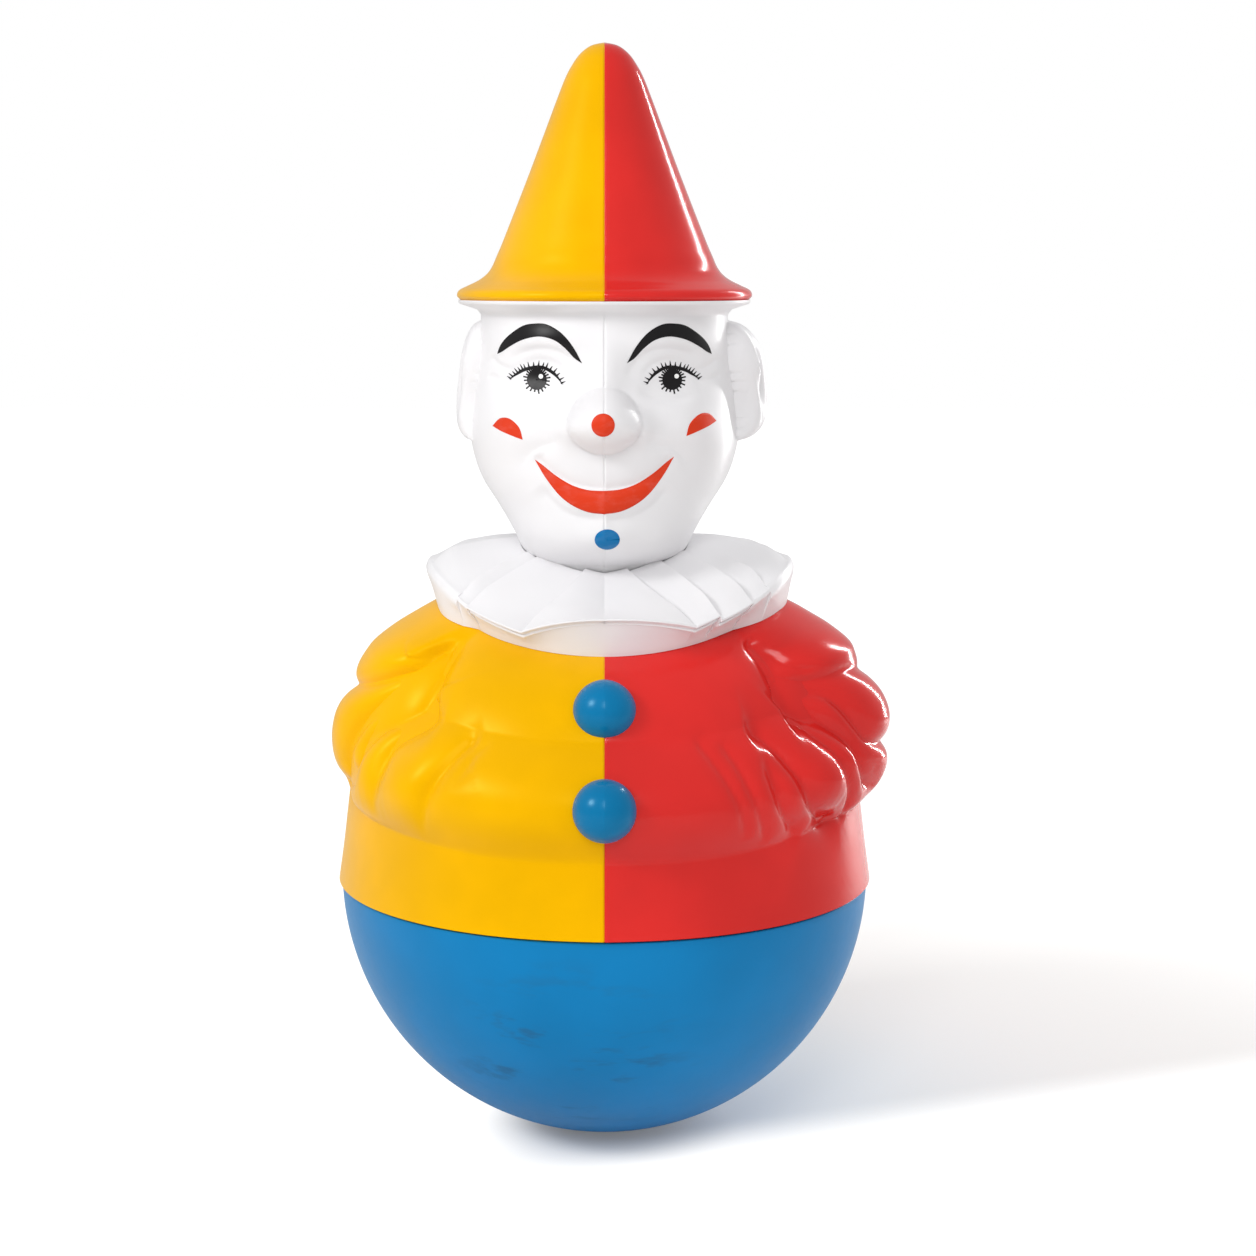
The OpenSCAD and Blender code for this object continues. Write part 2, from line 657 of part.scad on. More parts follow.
// An ear or fork arm: a plate with a round end at the pin, standing on `reach` above it
module ear_plate(reach) {
    rotate([quarter_turn, 0, 0])
    translate([0, 0, -ear_t / 2])
    linear_extrude(height = ear_t)
    difference() {
        union() {
            circle(d = eye_d);
            translate([-eye_d / 2, 0]) square([eye_d, reach]);
        }
        circle(d = pin_d + 2 * hole_gap);
    }
}
ear_side = eye_t / 2 + side_gap + ear_t / 2;
module bridge_bar() color(steel) {
    difference() {
        rotate([0, 0, post_turn]) translate([-(post_span + bar_w) / 2, -bar_w / 2, bar_z])
            cube([post_span + bar_w, bar_w, bar_t]);
        at_posts() translate([0, 0, bar_z - overrun])
            cylinder(h = bar_t + 2 * overrun, d = thread_d + 2 * hole_gap);
    }
    for (side = [-1, 1]) translate([0, side * ear_side, upper_pin_z])
        ear_plate(bar_z - upper_pin_z + bar_t / 2);
}
// A headed pin along Y
module hinge_pin() {
    half = ear_side + ear_t / 2;
    head_h = pin_head_h_share * pin_d;
    rotate([quarter_turn, 0, 0]) {
        translate([0, 0, -half - head_h]) cylinder(h = 2 * (half + head_h), d = pin_d);
        for (side = [-1, 1]) translate([0, 0, side * (half + head_h / 2) - head_h / 2])
            cylinder(h = head_h, d = pin_head_share * pin_d);
    }
}
module upper_pin() color(steel) translate([0, 0, upper_pin_z]) hinge_pin();
module lower_pin() color(steel) translate([0, 0, lower_pin_z]) rotate([0, 0, quarter_turn]) hinge_pin();

// An eye with its hole along Y
module eye() {
    rotate([quarter_turn, 0, 0]) translate([0, 0, -eye_t / 2]) cylinder(h = eye_t, d = eye_d);
}
module eye_hole() {
    rotate([quarter_turn, 0, 0]) translate([0, 0, -eye_t])
        cylinder(h = 2 * eye_t, d = pin_d + 2 * running_gap);
}
module clapper_link() color(steel) difference() {
    union() {
        translate([0, 0, upper_pin_z]) eye();
        translate([0, 0, lower_pin_z]) rotate([0, 0, quarter_turn]) eye();
        translate([0, 0, lower_pin_z]) cylinder(h = link_l, d = link_neck_share * eye_t);
    }
    translate([0, 0, upper_pin_z]) eye_hole();
    translate([0, 0, lower_pin_z]) rotate([0, 0, quarter_turn]) eye_hole();
}
// Where the stem ends, measured from the ball's middle
stem_end = ball_d * (1 / 2 - stem_in_ball_share);
module clapper_stem() color(steel) {
    drop = fork_drop_share * eye_d;
    yoke_w = 2 * (ear_side + ear_t / 2);
    stem_end_z = ball_z + stem_end;
    for (side = [-1, 1])
        translate([side * ear_side, 0, lower_pin_z])
        rotate([0, half_turn, quarter_turn])
        ear_plate(drop + ear_t);
    translate([-yoke_w / 2, -eye_d / 2, lower_pin_z - drop - ear_t]) cube([yoke_w, eye_d, ear_t]);
    translate([0, 0, stem_end_z]) cylinder(h = lower_pin_z - drop - stem_end_z - ear_t / 2, d = stem_d);
}
module clapper_ball() color(nylon) translate([0, 0, ball_z]) difference() {
    sphere(d = ball_d);
    translate([0, 0, stem_end - seat_gap]) cylinder(h = ball_d, d = stem_d + 2 * hole_gap);
}

// The figure's right half mirrors its left half
module right_side() {
    mirror([1, 0, 0]) children();
}

module body_right_half() color(yellow) right_side() half_body(-1);
module body_left_half() color(red) half_body(1);
module upper_button() color(blue) at_button(upper_button_share) button();
module lower_button() color(blue) at_button(lower_button_share) button();
module collar_right_half() color(white) right_side() half_collar(-1);
module collar_left_half() color(white) half_collar(1);
module head_right_half() color(white) right_side() half_head(-1);
module head_left_half() color(white) half_head(1);
module hat_right_half() color(yellow) right_side() half_hat();
module hat_left_half() color(red) half_hat();
module chime_rod_1() chime_rod(0);
module chime_rod_2() chime_rod(1);
module chime_rod_3() chime_rod(2);
module chime_rod_4() chime_rod(3);
module chime_rod_5() chime_rod(4);
module chime_rod_6() chime_rod(5);
module chime_rod_7() chime_rod(6);
module chime_rod_8() chime_rod(7);

base_bowl();
weight();
clamp_screw();
clamp_washer();
chime_plate();
chime_rod_1();
chime_rod_2();
chime_rod_3();
chime_rod_4();
chime_rod_5();
chime_rod_6();
chime_rod_7();
chime_rod_8();
bridge_posts();
bridge_bar();
bridge_nuts();
upper_pin();
clapper_link();
lower_pin();
clapper_stem();
clapper_ball();
body_right_half();
body_left_half();
upper_button();
lower_button();
collar_right_half();
collar_left_half();
head_right_half();
head_left_half();
hat_right_half();
hat_left_half();
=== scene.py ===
"""Dresses the roly poly clown: fine shells over the CAD frame, painted face, finishes, light and camera.

Every size is in millimetres until a mesh is made, and the frame is the CAD part's own: the origin is the
flat under the base, +Z is up and the clown faces -Y. Right and left are the clown's own sides. A turn is
an angle round the axis, from 0 at the front seam to half a turn at the back seam.
"""

import logging
import math
from dataclasses import dataclass, field, replace
from enum import Enum
from typing import Callable, Sequence

import bmesh
import bpy
import numpy as np
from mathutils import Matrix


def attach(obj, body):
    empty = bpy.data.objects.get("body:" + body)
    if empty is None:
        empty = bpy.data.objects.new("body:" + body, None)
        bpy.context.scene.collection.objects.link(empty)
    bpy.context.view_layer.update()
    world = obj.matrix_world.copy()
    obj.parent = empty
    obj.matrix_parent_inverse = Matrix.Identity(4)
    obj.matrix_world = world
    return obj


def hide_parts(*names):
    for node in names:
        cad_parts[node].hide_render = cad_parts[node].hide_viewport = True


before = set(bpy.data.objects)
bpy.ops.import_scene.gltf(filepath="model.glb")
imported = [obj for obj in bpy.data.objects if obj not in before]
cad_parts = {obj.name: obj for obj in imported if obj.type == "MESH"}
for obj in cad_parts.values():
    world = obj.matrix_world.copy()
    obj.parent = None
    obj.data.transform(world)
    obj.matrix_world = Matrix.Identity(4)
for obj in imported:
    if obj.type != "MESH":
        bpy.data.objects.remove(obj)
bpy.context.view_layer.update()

LOG = logging.getLogger("roly_poly")
MM = 0.001
TOY_BODY = "toy"
SHARP_DEG = 50.0
FRONT_POWER = 1.5
ON_AXIS = 1e-9
MERGE_M = 1e-7
Net = np.ndarray
Point = tuple[float, float]
Place = tuple[float, float, float]
Rgb = tuple[float, float, float]
Rgba = tuple[float, float, float, float]


class Side(Enum):
    """The clown's own sides; the value is the sign of X."""

    RIGHT = -1.0
    LEFT = 1.0

    @property
    def word(self) -> str:
        """The side's name as it is used in the nodes' names."""
        return self.name.lower()


@dataclass(frozen=True)
class Table:
    """A smooth curve through points of [place, value], with cubic pieces between them.

    Args:
        points: the points, in order of place.
    """

    points: tuple[Point, ...]

    def __call__(self, t: np.ndarray | float) -> np.ndarray:
        """Gives the curve's values; each piece is a cubic with the slope of its neighbours' chord.

        Args:
            t: places, of any shape.

        Returns:
            The values at those places.
        """
        x, y = np.array(self.points).T
        slope = np.empty_like(y)
        slope[1:-1] = (y[2:] - y[:-2]) / (x[2:] - x[:-2])
        slope[0] = (y[1] - y[0]) / (x[1] - x[0])
        slope[-1] = (y[-1] - y[-2]) / (x[-1] - x[-2])
        t = np.clip(np.asarray(t, float), x[0], x[-1])
        i = np.clip(np.searchsorted(x, t, side="right") - 1, 0, len(x) - 2)
        h = x[i + 1] - x[i]
        s = (t - x[i]) / h
        r = 1 - s
        rising = s * s * (3 - 2 * s) * y[i + 1] - s * s * r * h * slope[i + 1]
        return (1 + 2 * s) * r * r * y[i] + s * r * r * h * slope[i] + rising


def mix(a: np.ndarray | float, b: np.ndarray | float, share: np.ndarray | float) -> np.ndarray:
    """The value that lies a share of the way from a to b."""
    return a + (b - a) * share


def smooth_path(points: np.ndarray, steps: int) -> np.ndarray:
    """Runs a smooth path through points: each stretch is a cubic that its four nearest points set.

    Args:
        points: an array whose first axis runs along the path.
        steps: steps between each two points.

    Returns:
        The path's points, with the same further axes.
    """
    p = np.asarray(points, float)
    padded = np.concatenate([p[:1], p, p[-1:]])
    a, b, c, d = padded[:-3], padded[1:-2], padded[2:-1], padded[3:]
    s = (np.arange(steps) / steps).reshape((1, steps) + (1,) * (p.ndim - 1))
    a, b, c, d = (q[:, None] for q in (a, b, c, d))
    bent = 2 * b + (c - a) * s + (2 * a - 5 * b + 4 * c - d) * s**2 + (3 * b - a - 3 * c + d) * s**3
    return np.concatenate([(bent / 2).reshape((-1,) + p.shape[1:]), p[-1:]])


def dome(a: np.ndarray, b: np.ndarray) -> np.ndarray:
    """Height of a unit half ball over a point that lies a and b from its middle."""
    return np.sqrt(np.clip(1 - a * a - b * b, 0, None))


def arch(t: np.ndarray, power: float) -> np.ndarray:
    """Height of a unit arch over t: the root of one minus t to a power, which makes it boxier."""
    return np.sqrt(np.clip(1 - np.abs(t) ** power, 0, None))


@dataclass(frozen=True)
class Bump:
    """A soft swelling or, with a negative rise, a hollow: rise times a bell curve of the distance.

    Args:
        at: its middle on the surface's own map.
        half_w: its half width, where the bell has fallen to about a third.
        half_h: its half height.
        rise: how far it stands out.
    """

    at: Point
    half_w: float
    half_h: float
    rise: float

    def relief(self, p: np.ndarray, q: np.ndarray) -> np.ndarray:
        """The relief at map places p, q: a bell curve of the distance."""
        across, up = (p - self.at[0]) / self.half_w, (q - self.at[1]) / self.half_h
        return self.rise * np.exp(-(across**2) - up**2)

    def stretched(self, by: float) -> "Bump":
        """The same bump on a map whose first axis is stretched."""
        return replace(self, at=(self.at[0] * by, self.at[1]), half_w=self.half_w * by)


@dataclass(frozen=True)
class Crease:
    """A fold's valley along a curved path: a rounded floor with a bank on each side at its own rate.

    Args:
        path: points on the surface's own map, which a smooth path joins.
        depth: how deep the valley is; a negative depth makes a ridge.
        near: how fast the left bank, seen along the path, rises: its length.
        far: the same for the right bank.
        fade: the share of the path over which each end fades out.
        soft: how far the floor is rounded.
        steps: steps between each two points of the path.
    """

    path: tuple[Point, ...]
    depth: float
    near: float
    far: float
    fade: float = 0.25
    soft: float = 0.3
    steps: int = 8

    def relief(self, p: np.ndarray, q: np.ndarray) -> np.ndarray:
        """The relief: minus the depth, times the bank's decay, times the ends' fade.

        Args:
            p: places along the map's first axis.
            q: places along its second axis.

        Returns:
            The relief at each place.
        """
        line = smooth_path(np.array(self.path), self.steps)
        away = np.full(p.shape, np.inf)
        along = np.zeros(p.shape)
        left = np.zeros(p.shape, bool)
        for i, (a, b) in enumerate(zip(line[:-1], line[1:])):
            run = b - a
            s = np.clip(((p - a[0]) * run[0] + (q - a[1]) * run[1]) / (run @ run), 0, 1)
            dp, dq = p - a[0] - s * run[0], q - a[1] - s * run[1]
            gap = np.hypot(dp, dq)
            closer = gap < away
            along = np.where(closer, (i + s) / (len(line) - 1), along)
            left = np.where(closer, run[0] * dq - run[1] * dp > 0, left)
            away = np.where(closer, gap, away)
        climb = np.hypot(away, self.soft) - self.soft
        bank = np.exp(-climb / np.where(left, self.near, self.far))
        ends = np.clip(np.minimum(along, 1 - along) / self.fade, 0, 1)
        return -self.depth * bank * ends * ends * (3 - 2 * ends)

    def stretched(self, by: float) -> "Crease":
        """The same crease on a map whose first axis is stretched."""
        return replace(self, path=tuple((p * by, q) for p, q in self.path))


def total_relief(features: Sequence[Bump | Crease], p: np.ndarray, q: np.ndarray) -> np.ndarray:
    """Adds up the reliefs of all features at map places p, q."""
    p, q = np.broadcast_arrays(p, q)
    return sum((feature.relief(p, q) for feature in features), np.zeros(p.shape))


def front_share(turn: np.ndarray) -> np.ndarray:
    """How much of the front is in a turn: the cosine to the power of one and a half."""
    return np.clip(np.cos(turn), 0, None) ** FRONT_POWER


def back_share(turn: np.ndarray) -> np.ndarray:
    """How much of the back is in a turn, by the same power."""
    return np.clip(-np.cos(turn), 0, None) ** FRONT_POWER


def polar(r: np.ndarray, turn: np.ndarray, z: np.ndarray) -> Net:
    """Points at radius r, a turn from the front towards the clown's left, and height z."""
    r, turn, z = np.broadcast_arrays(r, turn, z)
    return np.stack([r * np.sin(turn), -r * np.cos(turn), z], axis=-1)


@dataclass(frozen=True)
class Seam:
    """The mould seam at the front and back: a low keel with a fine line along its crest.

    Args:
        keel: the keel's height.
        keel_w: the distance in which the keel falls to about a third.
        line: the depth of the line between the halves.
        line_w: the line's half width.
    """

    keel: float = 0.36
    keel_w: float = 5.0
    line: float = 0.26
    line_w: float = 0.2

    # Places beside a seam, in half widths of its line, and how far past the last the even turns begin
    CLOSE = (0, 0.5, 1, 1.6, 2.4, 4)
    CLEAR = 1.5

    def relief(self, r: np.ndarray, turn: np.ndarray) -> np.ndarray:
        """The keel and its line, by the arc length from the nearer seam."""
        arc = r * np.minimum(turn, math.pi - turn)
        return self.keel * np.exp(-arc / self.keel_w) - self.line * np.exp(-((arc / self.line_w) ** 2))

    def turns(self, r: float, steps: int) -> np.ndarray:
        """Turns from seam to seam, closely spaced beside each seam.

        Args:
            r: the radius that the seam's line is measured at.
            steps: the number of even steps.

        Returns:
            The turns, as one row.
        """
        close = np.array(self.CLOSE) * self.line_w / r
        clear = self.CLEAR * close[-1]
        even = np.linspace(0, math.pi, steps + 1)
        even = even[(even > clear) & (even < math.pi - clear)]
        return np.concatenate([close, even, math.pi - close[::-1]])[None, :]


SEAM = Seam()


def new_mesh(
    name: str,
    points: np.ndarray,
    faces: np.ndarray,
    sharp_deg: float = SHARP_DEG,
) -> bpy.types.Object:
    """Makes an object from points in millimetres and faces that share one number of corners.

    Args:
        name: the object's name.
        points: rows of X, Y, Z.
        faces: rows of point numbers, anticlockwise seen from outside.
        sharp_deg: edges that bend by more than this are shown sharp.

    Returns:
        The object, linked to the scene, at the origin.
    """
    mesh = bpy.data.meshes.new(name)
    corners = faces.shape[1]
    mesh.vertices.add(len(points))
    mesh.vertices.foreach_set("co", (points * MM).astype(np.float32).ravel())
    mesh.loops.add(faces.size)
    mesh.loops.foreach_set("vertex_index", faces.astype(np.int32).ravel())
    mesh.polygons.add(len(faces))
    mesh.polygons.foreach_set("loop_start", np.arange(0, faces.size, corners, dtype=np.int32))
    mesh.update(calc_edges=True)
    mesh.validate()
    mesh.polygons.foreach_set("use_smooth", np.ones(len(mesh.polygons), bool))
    mesh.set_sharp_from_angle(angle=math.radians(sharp_deg))
    piece = bpy.data.objects.new(name, mesh)
    bpy.context.scene.collection.objects.link(piece)
    return piece


def net_faces(rows: int, cols: int, first: int = 0) -> np.ndarray:
    """Four-cornered faces of a net whose rows run up and whose columns run anticlockwise from above."""
    at = first + np.arange(rows * cols).reshape(rows, cols)
    return np.stack([at[:-1, :-1], at[:-1, 1:], at[1:, 1:], at[1:, :-1]], axis=-1).reshape(-1, 4)


def strip_faces(a: np.ndarray, b: np.ndarray) -> np.ndarray:
    """Four-cornered faces between two equal rows of points; they face right, seen along a with b above."""
    return np.stack([a[:-1], a[1:], b[1:], b[:-1]], axis=-1)


def closed(outer: Net, inner: Net) -> tuple[np.ndarray, np.ndarray]:
    """Closes the space between an outer and an inner net of the same size.

    Args:
        outer: points by row and column, as for the clown's left side.
        inner: the inner wall's points.

    Returns:
        The points and the faces.
    """
    rows, cols = outer.shape[:2]
    outside = np.arange(rows * cols).reshape(rows, cols)
    inside = outside + rows * cols
    faces = np.concatenate(
        [
            net_faces(rows, cols),
            net_faces(rows, cols, rows * cols)[:, ::-1],
            strip_faces(inside[0], outside[0]),
            strip_faces(outside[-1], inside[-1]),
            strip_faces(outside[:, 0], inside[:, 0]),
            strip_faces(inside[:, -1], outside[:, -1]),
        ]
    )
    return np.concatenate([outer.reshape(-1, 3), inner.reshape(-1, 3)]), faces


def shell(name: str, outer: Net, inner: Net, side: Side, sharp_deg: float) -> bpy.types.Object:
    """Makes one solid between an outer and an inner net.

    Args:
        name: the object's name.
        outer: points by row and column, as for the clown's left side.
        inner: the inner wall's points.
        side: the side it is for; the right side mirrors the left.
        sharp_deg: edges that bend by more than this are shown sharp.

    Returns:
        The object.
    """
    points, faces = closed(outer, inner)
    if side is Side.RIGHT:
        points = points * np.array([-1.0, 1.0, 1.0])
        faces = faces[:, ::-1]
    return new_mesh(name, points, faces, sharp_deg)


def turned(
    name: str,
    profile: np.ndarray,
    steps: int,
    place: Callable[[np.ndarray], np.ndarray],
) -> bpy.types.Object:
    """Turns a closed outline round its axis into one solid.

    Args:
        name: the object's name.
        profile: points of radius and height, closed, anticlockwise with the radius to the right.
        steps: steps in a full turn.
        place: moves points from the outline's own frame into the part's frame.

    Returns:
        The object. Points on the axis are shared.
    """
    angle = np.arange(steps) * 2 * math.pi / steps
    r, z = profile.T
    flat = r[:, None, None] * np.stack([np.cos(angle), np.sin(angle)], axis=-1)
    up = np.broadcast_to(z[:, None, None], (len(r), steps, 1))
    points = np.concatenate([flat, up], axis=-1).reshape(-1, 3)
    at = np.arange(len(points)).reshape(len(r), steps)
    at[r < ON_AXIS] = at[r < ON_AXIS][:, :1]
    low, high = at, np.roll(at, -1, axis=0)
    quads = np.stack([low, np.roll(low, -1, axis=1), np.roll(high, -1, axis=1), high], axis=-1).reshape(-1, 4)
    faces = np.concatenate([quads[:, [0, 1, 2]], quads[:, [0, 2, 3]]])
    faces = faces[(faces != np.roll(faces, 1, axis=1)).all(axis=1)]
    piece = new_mesh(name, place(points), faces)
    clean_up(piece)
    return piece


def clean_up(piece: bpy.types.Object) -> None:
    """Merges doubled points, drops faces that have shrunk to a line and turns all faces outwards.

    Args:
        piece: the piece, whose mesh is changed.
    """
    work = bmesh.new()
    work.from_mesh(piece.data)
    bmesh.ops.remove_doubles(work, verts=work.verts, dist=MERGE_M)
    bmesh.ops.dissolve_degenerate(work, dist=MERGE_M, edges=work.edges)
    loose = [v for v in work.verts if not v.link_faces]
    bmesh.ops.delete(work, geom=loose, context="VERTS")
    bmesh.ops.recalc_face_normals(work, faces=work.faces)
    work.to_mesh(piece.data)
    work.free()


def linear(srgb: Sequence[float]) -> Rgba:
    """Turns a colour as the eye sees it into the renderer's, by the standard sRGB curve.

    Args:
        srgb: red, green and blue, 0 to 255.

    Returns:
        The linear colour, opaque.
    """
    c = np.asarray(srgb, float) / 255
    out = np.where(c <= 0.04045, c / 12.92, ((c + 0.055) / 1.055) ** 2.4)
    return (float(out[0]), float(out[1]), float(out[2]), 1.0)


def toned(colour: Rgba, grey: float, share: float) -> Rgba:
    """A colour moved a share of the way to a grey."""
    r, g, b = (float(mix(c, grey, share)) for c in colour[:3])
    return (r, g, b, 1.0)


class Value:
    """A socket that can be used in sums; each operation adds its node.

    Args:
        graph: the tree that it belongs to.
        socket: the output socket.
    """

    def __init__(self, graph: "Graph", socket: bpy.types.NodeSocket) -> None:
        """Keeps the tree and the socket."""
        self.graph = graph
        self.socket = socket

    def _math(self, operation: str, a: "Value | float", b: "Value | float") -> "Value":
        """Adds a Math node."""
        return self.graph.node("ShaderNodeMath", {"operation": operation}, {0: a, 1: b})

    def __add__(self, other: "Value | float") -> "Value":
        """Sum."""
        return self._math("ADD", self, other)

    __radd__ = __add__

    def __mul__(self, other: "Value | float") -> "Value":
        """Product."""
        return self._math("MULTIPLY", self, other)

    __rmul__ = __mul__

    def __sub__(self, other: "Value | float") -> "Value":
        """Difference."""
        return self._math("SUBTRACT", self, other)

    def __rsub__(self, other: float) -> "Value":
        """Difference from a number."""
        return self._math("SUBTRACT", other, self)

    def ramp(self, low: float, high: float) -> "Value":
        """Goes smoothly from 0 at low to 1 at high."""
        settings = {"interpolation_type": "SMOOTHSTEP"}
        sockets = {"Value": self, "From Min": low, "From Max": high}
        return self.graph.node("ShaderNodeMapRange", settings, sockets)


class Graph:
    """A tree of shader nodes.

    Args:
        tree: the tree.
    """

    def __init__(self, tree: bpy.types.NodeTree) -> None:
        """Keeps the tree."""
        self.tree = tree

    def node(
        self,
        kind: str,
        settings: dict | None = None,
        sockets: dict | None = None,
        out: int | str = 0,
    ) -> Value:
        """Adds a node.

        Args:
            kind: the node's type.
            settings: its properties, set first.
            sockets: the values or links of its inputs, by name or number.
            out: the output to return.

        Returns:
            That output as a value.
        """
        node = self.tree.nodes.new(kind)
        for key, setting in (settings or {}).items():
            setattr(node, key, setting)
        for key, value in (sockets or {}).items():
            self.feed(node.inputs[key], value)
        return Value(self, node.outputs[out])

    def feed(self, socket: bpy.types.NodeSocket, value: "Value | float | Sequence[float]") -> None:
        """Links a value to a socket or sets the socket to a constant.

        Args:
            socket: the input socket.
            value: the value or the constant.
        """
        if isinstance(value, Value):
            self.tree.links.new(value.socket, socket)
        else:
            socket.default_value = value


class Recipe(Graph):
    """A material under construction.

    Args:
        name: the material's name.
    """

    def __init__(self, name: str) -> None:
        """Starts from the main shader."""
        self.material = bpy.data.materials.new(name)
        self.material.use_nodes = True
        super().__init__(self.material.node_tree)
        self.shader = self.tree.nodes["Principled BSDF"]
        self.output = self.tree.nodes["Material Output"]

    def set(self, **sockets: "Value | float | Sequence[float]") -> None:
        """Feeds the main shader's sockets; an underscore in a name stands for a space."""
        for key, value in sockets.items():
            self.feed(self.shader.inputs[key.replace("_", " ")], value)

    def place(self, scale: Place = (1.0, 1.0, 1.0), at: Place = (0.0, 0.0, 0.0)) -> Value:
        """Object coordinates in metres, moved and stretched."""
        where = self.node("ShaderNodeTexCoord", out="Object")
        sockets = {"Vector": where, "Location": at, "Scale": scale}
        return self.node("ShaderNodeMapping", {"vector_type": "TEXTURE"}, sockets)

    def length(self, where: Value) -> Value:
        """Distance of a place from the place's own origin."""
        return self.node("ShaderNodeVectorMath", {"operation": "LENGTH"}, {0: where}, "Value")

    def noise(self, where: Value, scale: float, detail: float = 3.0, rough: float = 0.55) -> Value:
        """Soft noise around one half, which is its middle."""
        sockets = {"Vector": where, "Scale": scale, "Detail": detail, "Roughness": rough}
        return self.node("ShaderNodeTexNoise", {}, sockets)

    def blend(self, share: "Value | float", a: "Value | Rgba", b: "Value | Rgba") -> Value:
        """Mixes two colours."""
        return self.node("ShaderNodeMix", {"data_type": "RGBA"}, {0: share, 6: a, 7: b}, 2)

    def bump(self, height: Value, distance: float, strength: float) -> Value:
        """A bump that feeds a normal; the distance is in metres."""
        return self.node("ShaderNodeBump", {}, {"Height": height, "Distance": distance, "Strength": strength})


@dataclass(frozen=True)
class MouldedPlastic:
    """Coloured moulded plastic with a faint mottle, a fine grain and, where it is scuffed, streaks.

    Args:
        name: the material's name.
        colour: its colour, 0 to 255.
        worn: the colour of its scuffs.
        roughness: the skin's roughness.
        scuffs: how much of it is scuffed, from 0 to 1.
        mottle: how far the colour wanders.
        sheen: the tint of its reflections.
        scuff_at: the middle of the scuffed patch, in metres.
    """

    name: str
    colour: Rgb
    worn: Rgb
    roughness: float
    scuffs: float = 0.0
    mottle: float = 0.06
    sheen: Rgb = (1.0, 1.0, 1.0)
    scuff_at: Place = (-0.008, -0.05, 0.028)

    # Noises: scale, detail and roughness; ramps: where they start and end; reaches in metres
    CLOUD = (28.0,)
    CLOUD_RAMP = (0.35, 0.7)
    CLOUD_ROUGH = 0.10
    FINE = (420.0, 2.0)
    FINE_ROUGH = 0.06
    FINE_BUMP = (0.00003, 0.6)
    STREAK = (95.0, 4.0, 0.65)
    STREAK_STRETCH = (2.6, 1.0, 0.7)
    STREAK_RAMP = (0.52, 0.66)
    SCUFF_REACH = (0.012, 0.034)
    SCUFF_ROUGH = 0.18
    SPECULAR = 0.3

    def make(self) -> bpy.types.Material:
        """Builds the material.

        Returns:
            The material.
        """
        r = Recipe(self.name)
        base = linear(self.colour)
        cloud = r.noise(r.place(), *self.CLOUD)
        fine = r.noise(r.place(), *self.FINE)
        colour = r.blend(cloud.ramp(*self.CLOUD_RAMP), toned(base, 0.0, 2 * self.mottle), base)
        rough = self.roughness + self.CLOUD_ROUGH * (cloud - 0.5) + self.FINE_ROUGH * (fine - 0.5)
        if self.scuffs:
            streaks = r.noise(r.place(scale=self.STREAK_STRETCH), *self.STREAK)
            handled = r.length(r.place(at=self.scuff_at))
            mark = streaks.ramp(*self.STREAK_RAMP) * (1 - handled.ramp(*self.SCUFF_REACH)) * self.scuffs
            colour = r.blend(mark, colour, linear(self.worn))
            rough = rough + self.SCUFF_ROUGH * mark
        r.set(Base_Color=colour, Roughness=rough, Normal=r.bump(fine, *self.FINE_BUMP))
        r.set(Specular_IOR_Level=self.SPECULAR, Specular_Tint=(*self.sheen, 1.0))
        return r.material


@dataclass(frozen=True)
class Paint:
    """A thin coat of paint, brushed a little unevenly.

    Args:
        name: the material's name.
        colour: its colour, 0 to 255.
        roughness: its roughness.
        thin: how far the plastic shows through in places.
    """

    name: str
    colour: Rgb
    roughness: float
    thin: float

    BARE = 0.75
    BRUSH_SCALE = 300.0
    BRUSH_STRETCH = (1.0, 1.0, 0.5)
    BRUSH_RAMP = (0.45, 0.75)
    BRUSH_ROUGH = 0.1
    SPECULAR = 0.2

    def make(self) -> bpy.types.Material:
        """Builds the material.

        Returns:
            The material.
        """
        r = Recipe(self.name)
        base = linear(self.colour)
        brush = r.noise(r.place(scale=self.BRUSH_STRETCH), self.BRUSH_SCALE)
        colour = r.blend(brush.ramp(*self.BRUSH_RAMP), base, toned(base, self.BARE, self.thin))
        r.set(Base_Color=colour, Roughness=self.roughness + self.BRUSH_ROUGH * (brush - 0.5))
        r.set(Specular_IOR_Level=self.SPECULAR)
        return r.material


@dataclass(frozen=True)
class Metal:
    """Bare or plated metal with drawn streaks.

    Args:
        name: the material's name.
        colour: its colour, 0 to 255.
        roughness: its roughness.
        metallic: 1 for bare metal, less for a cast skin.
        streak: how much the streaks are stretched along Z.
    """

    name: str
    colour: Rgb
    roughness: float
    metallic: float = 1.0
    streak: float = 8.0

    GRAIN_SCALE = 600.0
    GRAIN_RAMP = (0.3, 0.7)
    GRAIN_ROUGH = 0.2
    GRAIN_BUMP = (0.00004, 0.5)
    DARKER = 0.28

    def make(self) -> bpy.types.Material:
        """Builds the material.

        Returns:
            The material.
        """
        r = Recipe(self.name)
        base = linear(self.colour)
        grain = r.noise(r.place(scale=(1.0, 1.0, self.streak)), self.GRAIN_SCALE)
        r.set(
            Base_Color=r.blend(grain.ramp(*self.GRAIN_RAMP), toned(base, 0.0, self.DARKER), base),
            Roughness=self.roughness + self.GRAIN_ROUGH * (grain - 0.5),
            Metallic=self.metallic,
            Normal=r.bump(grain, *self.GRAIN_BUMP),
        )
        return r.material


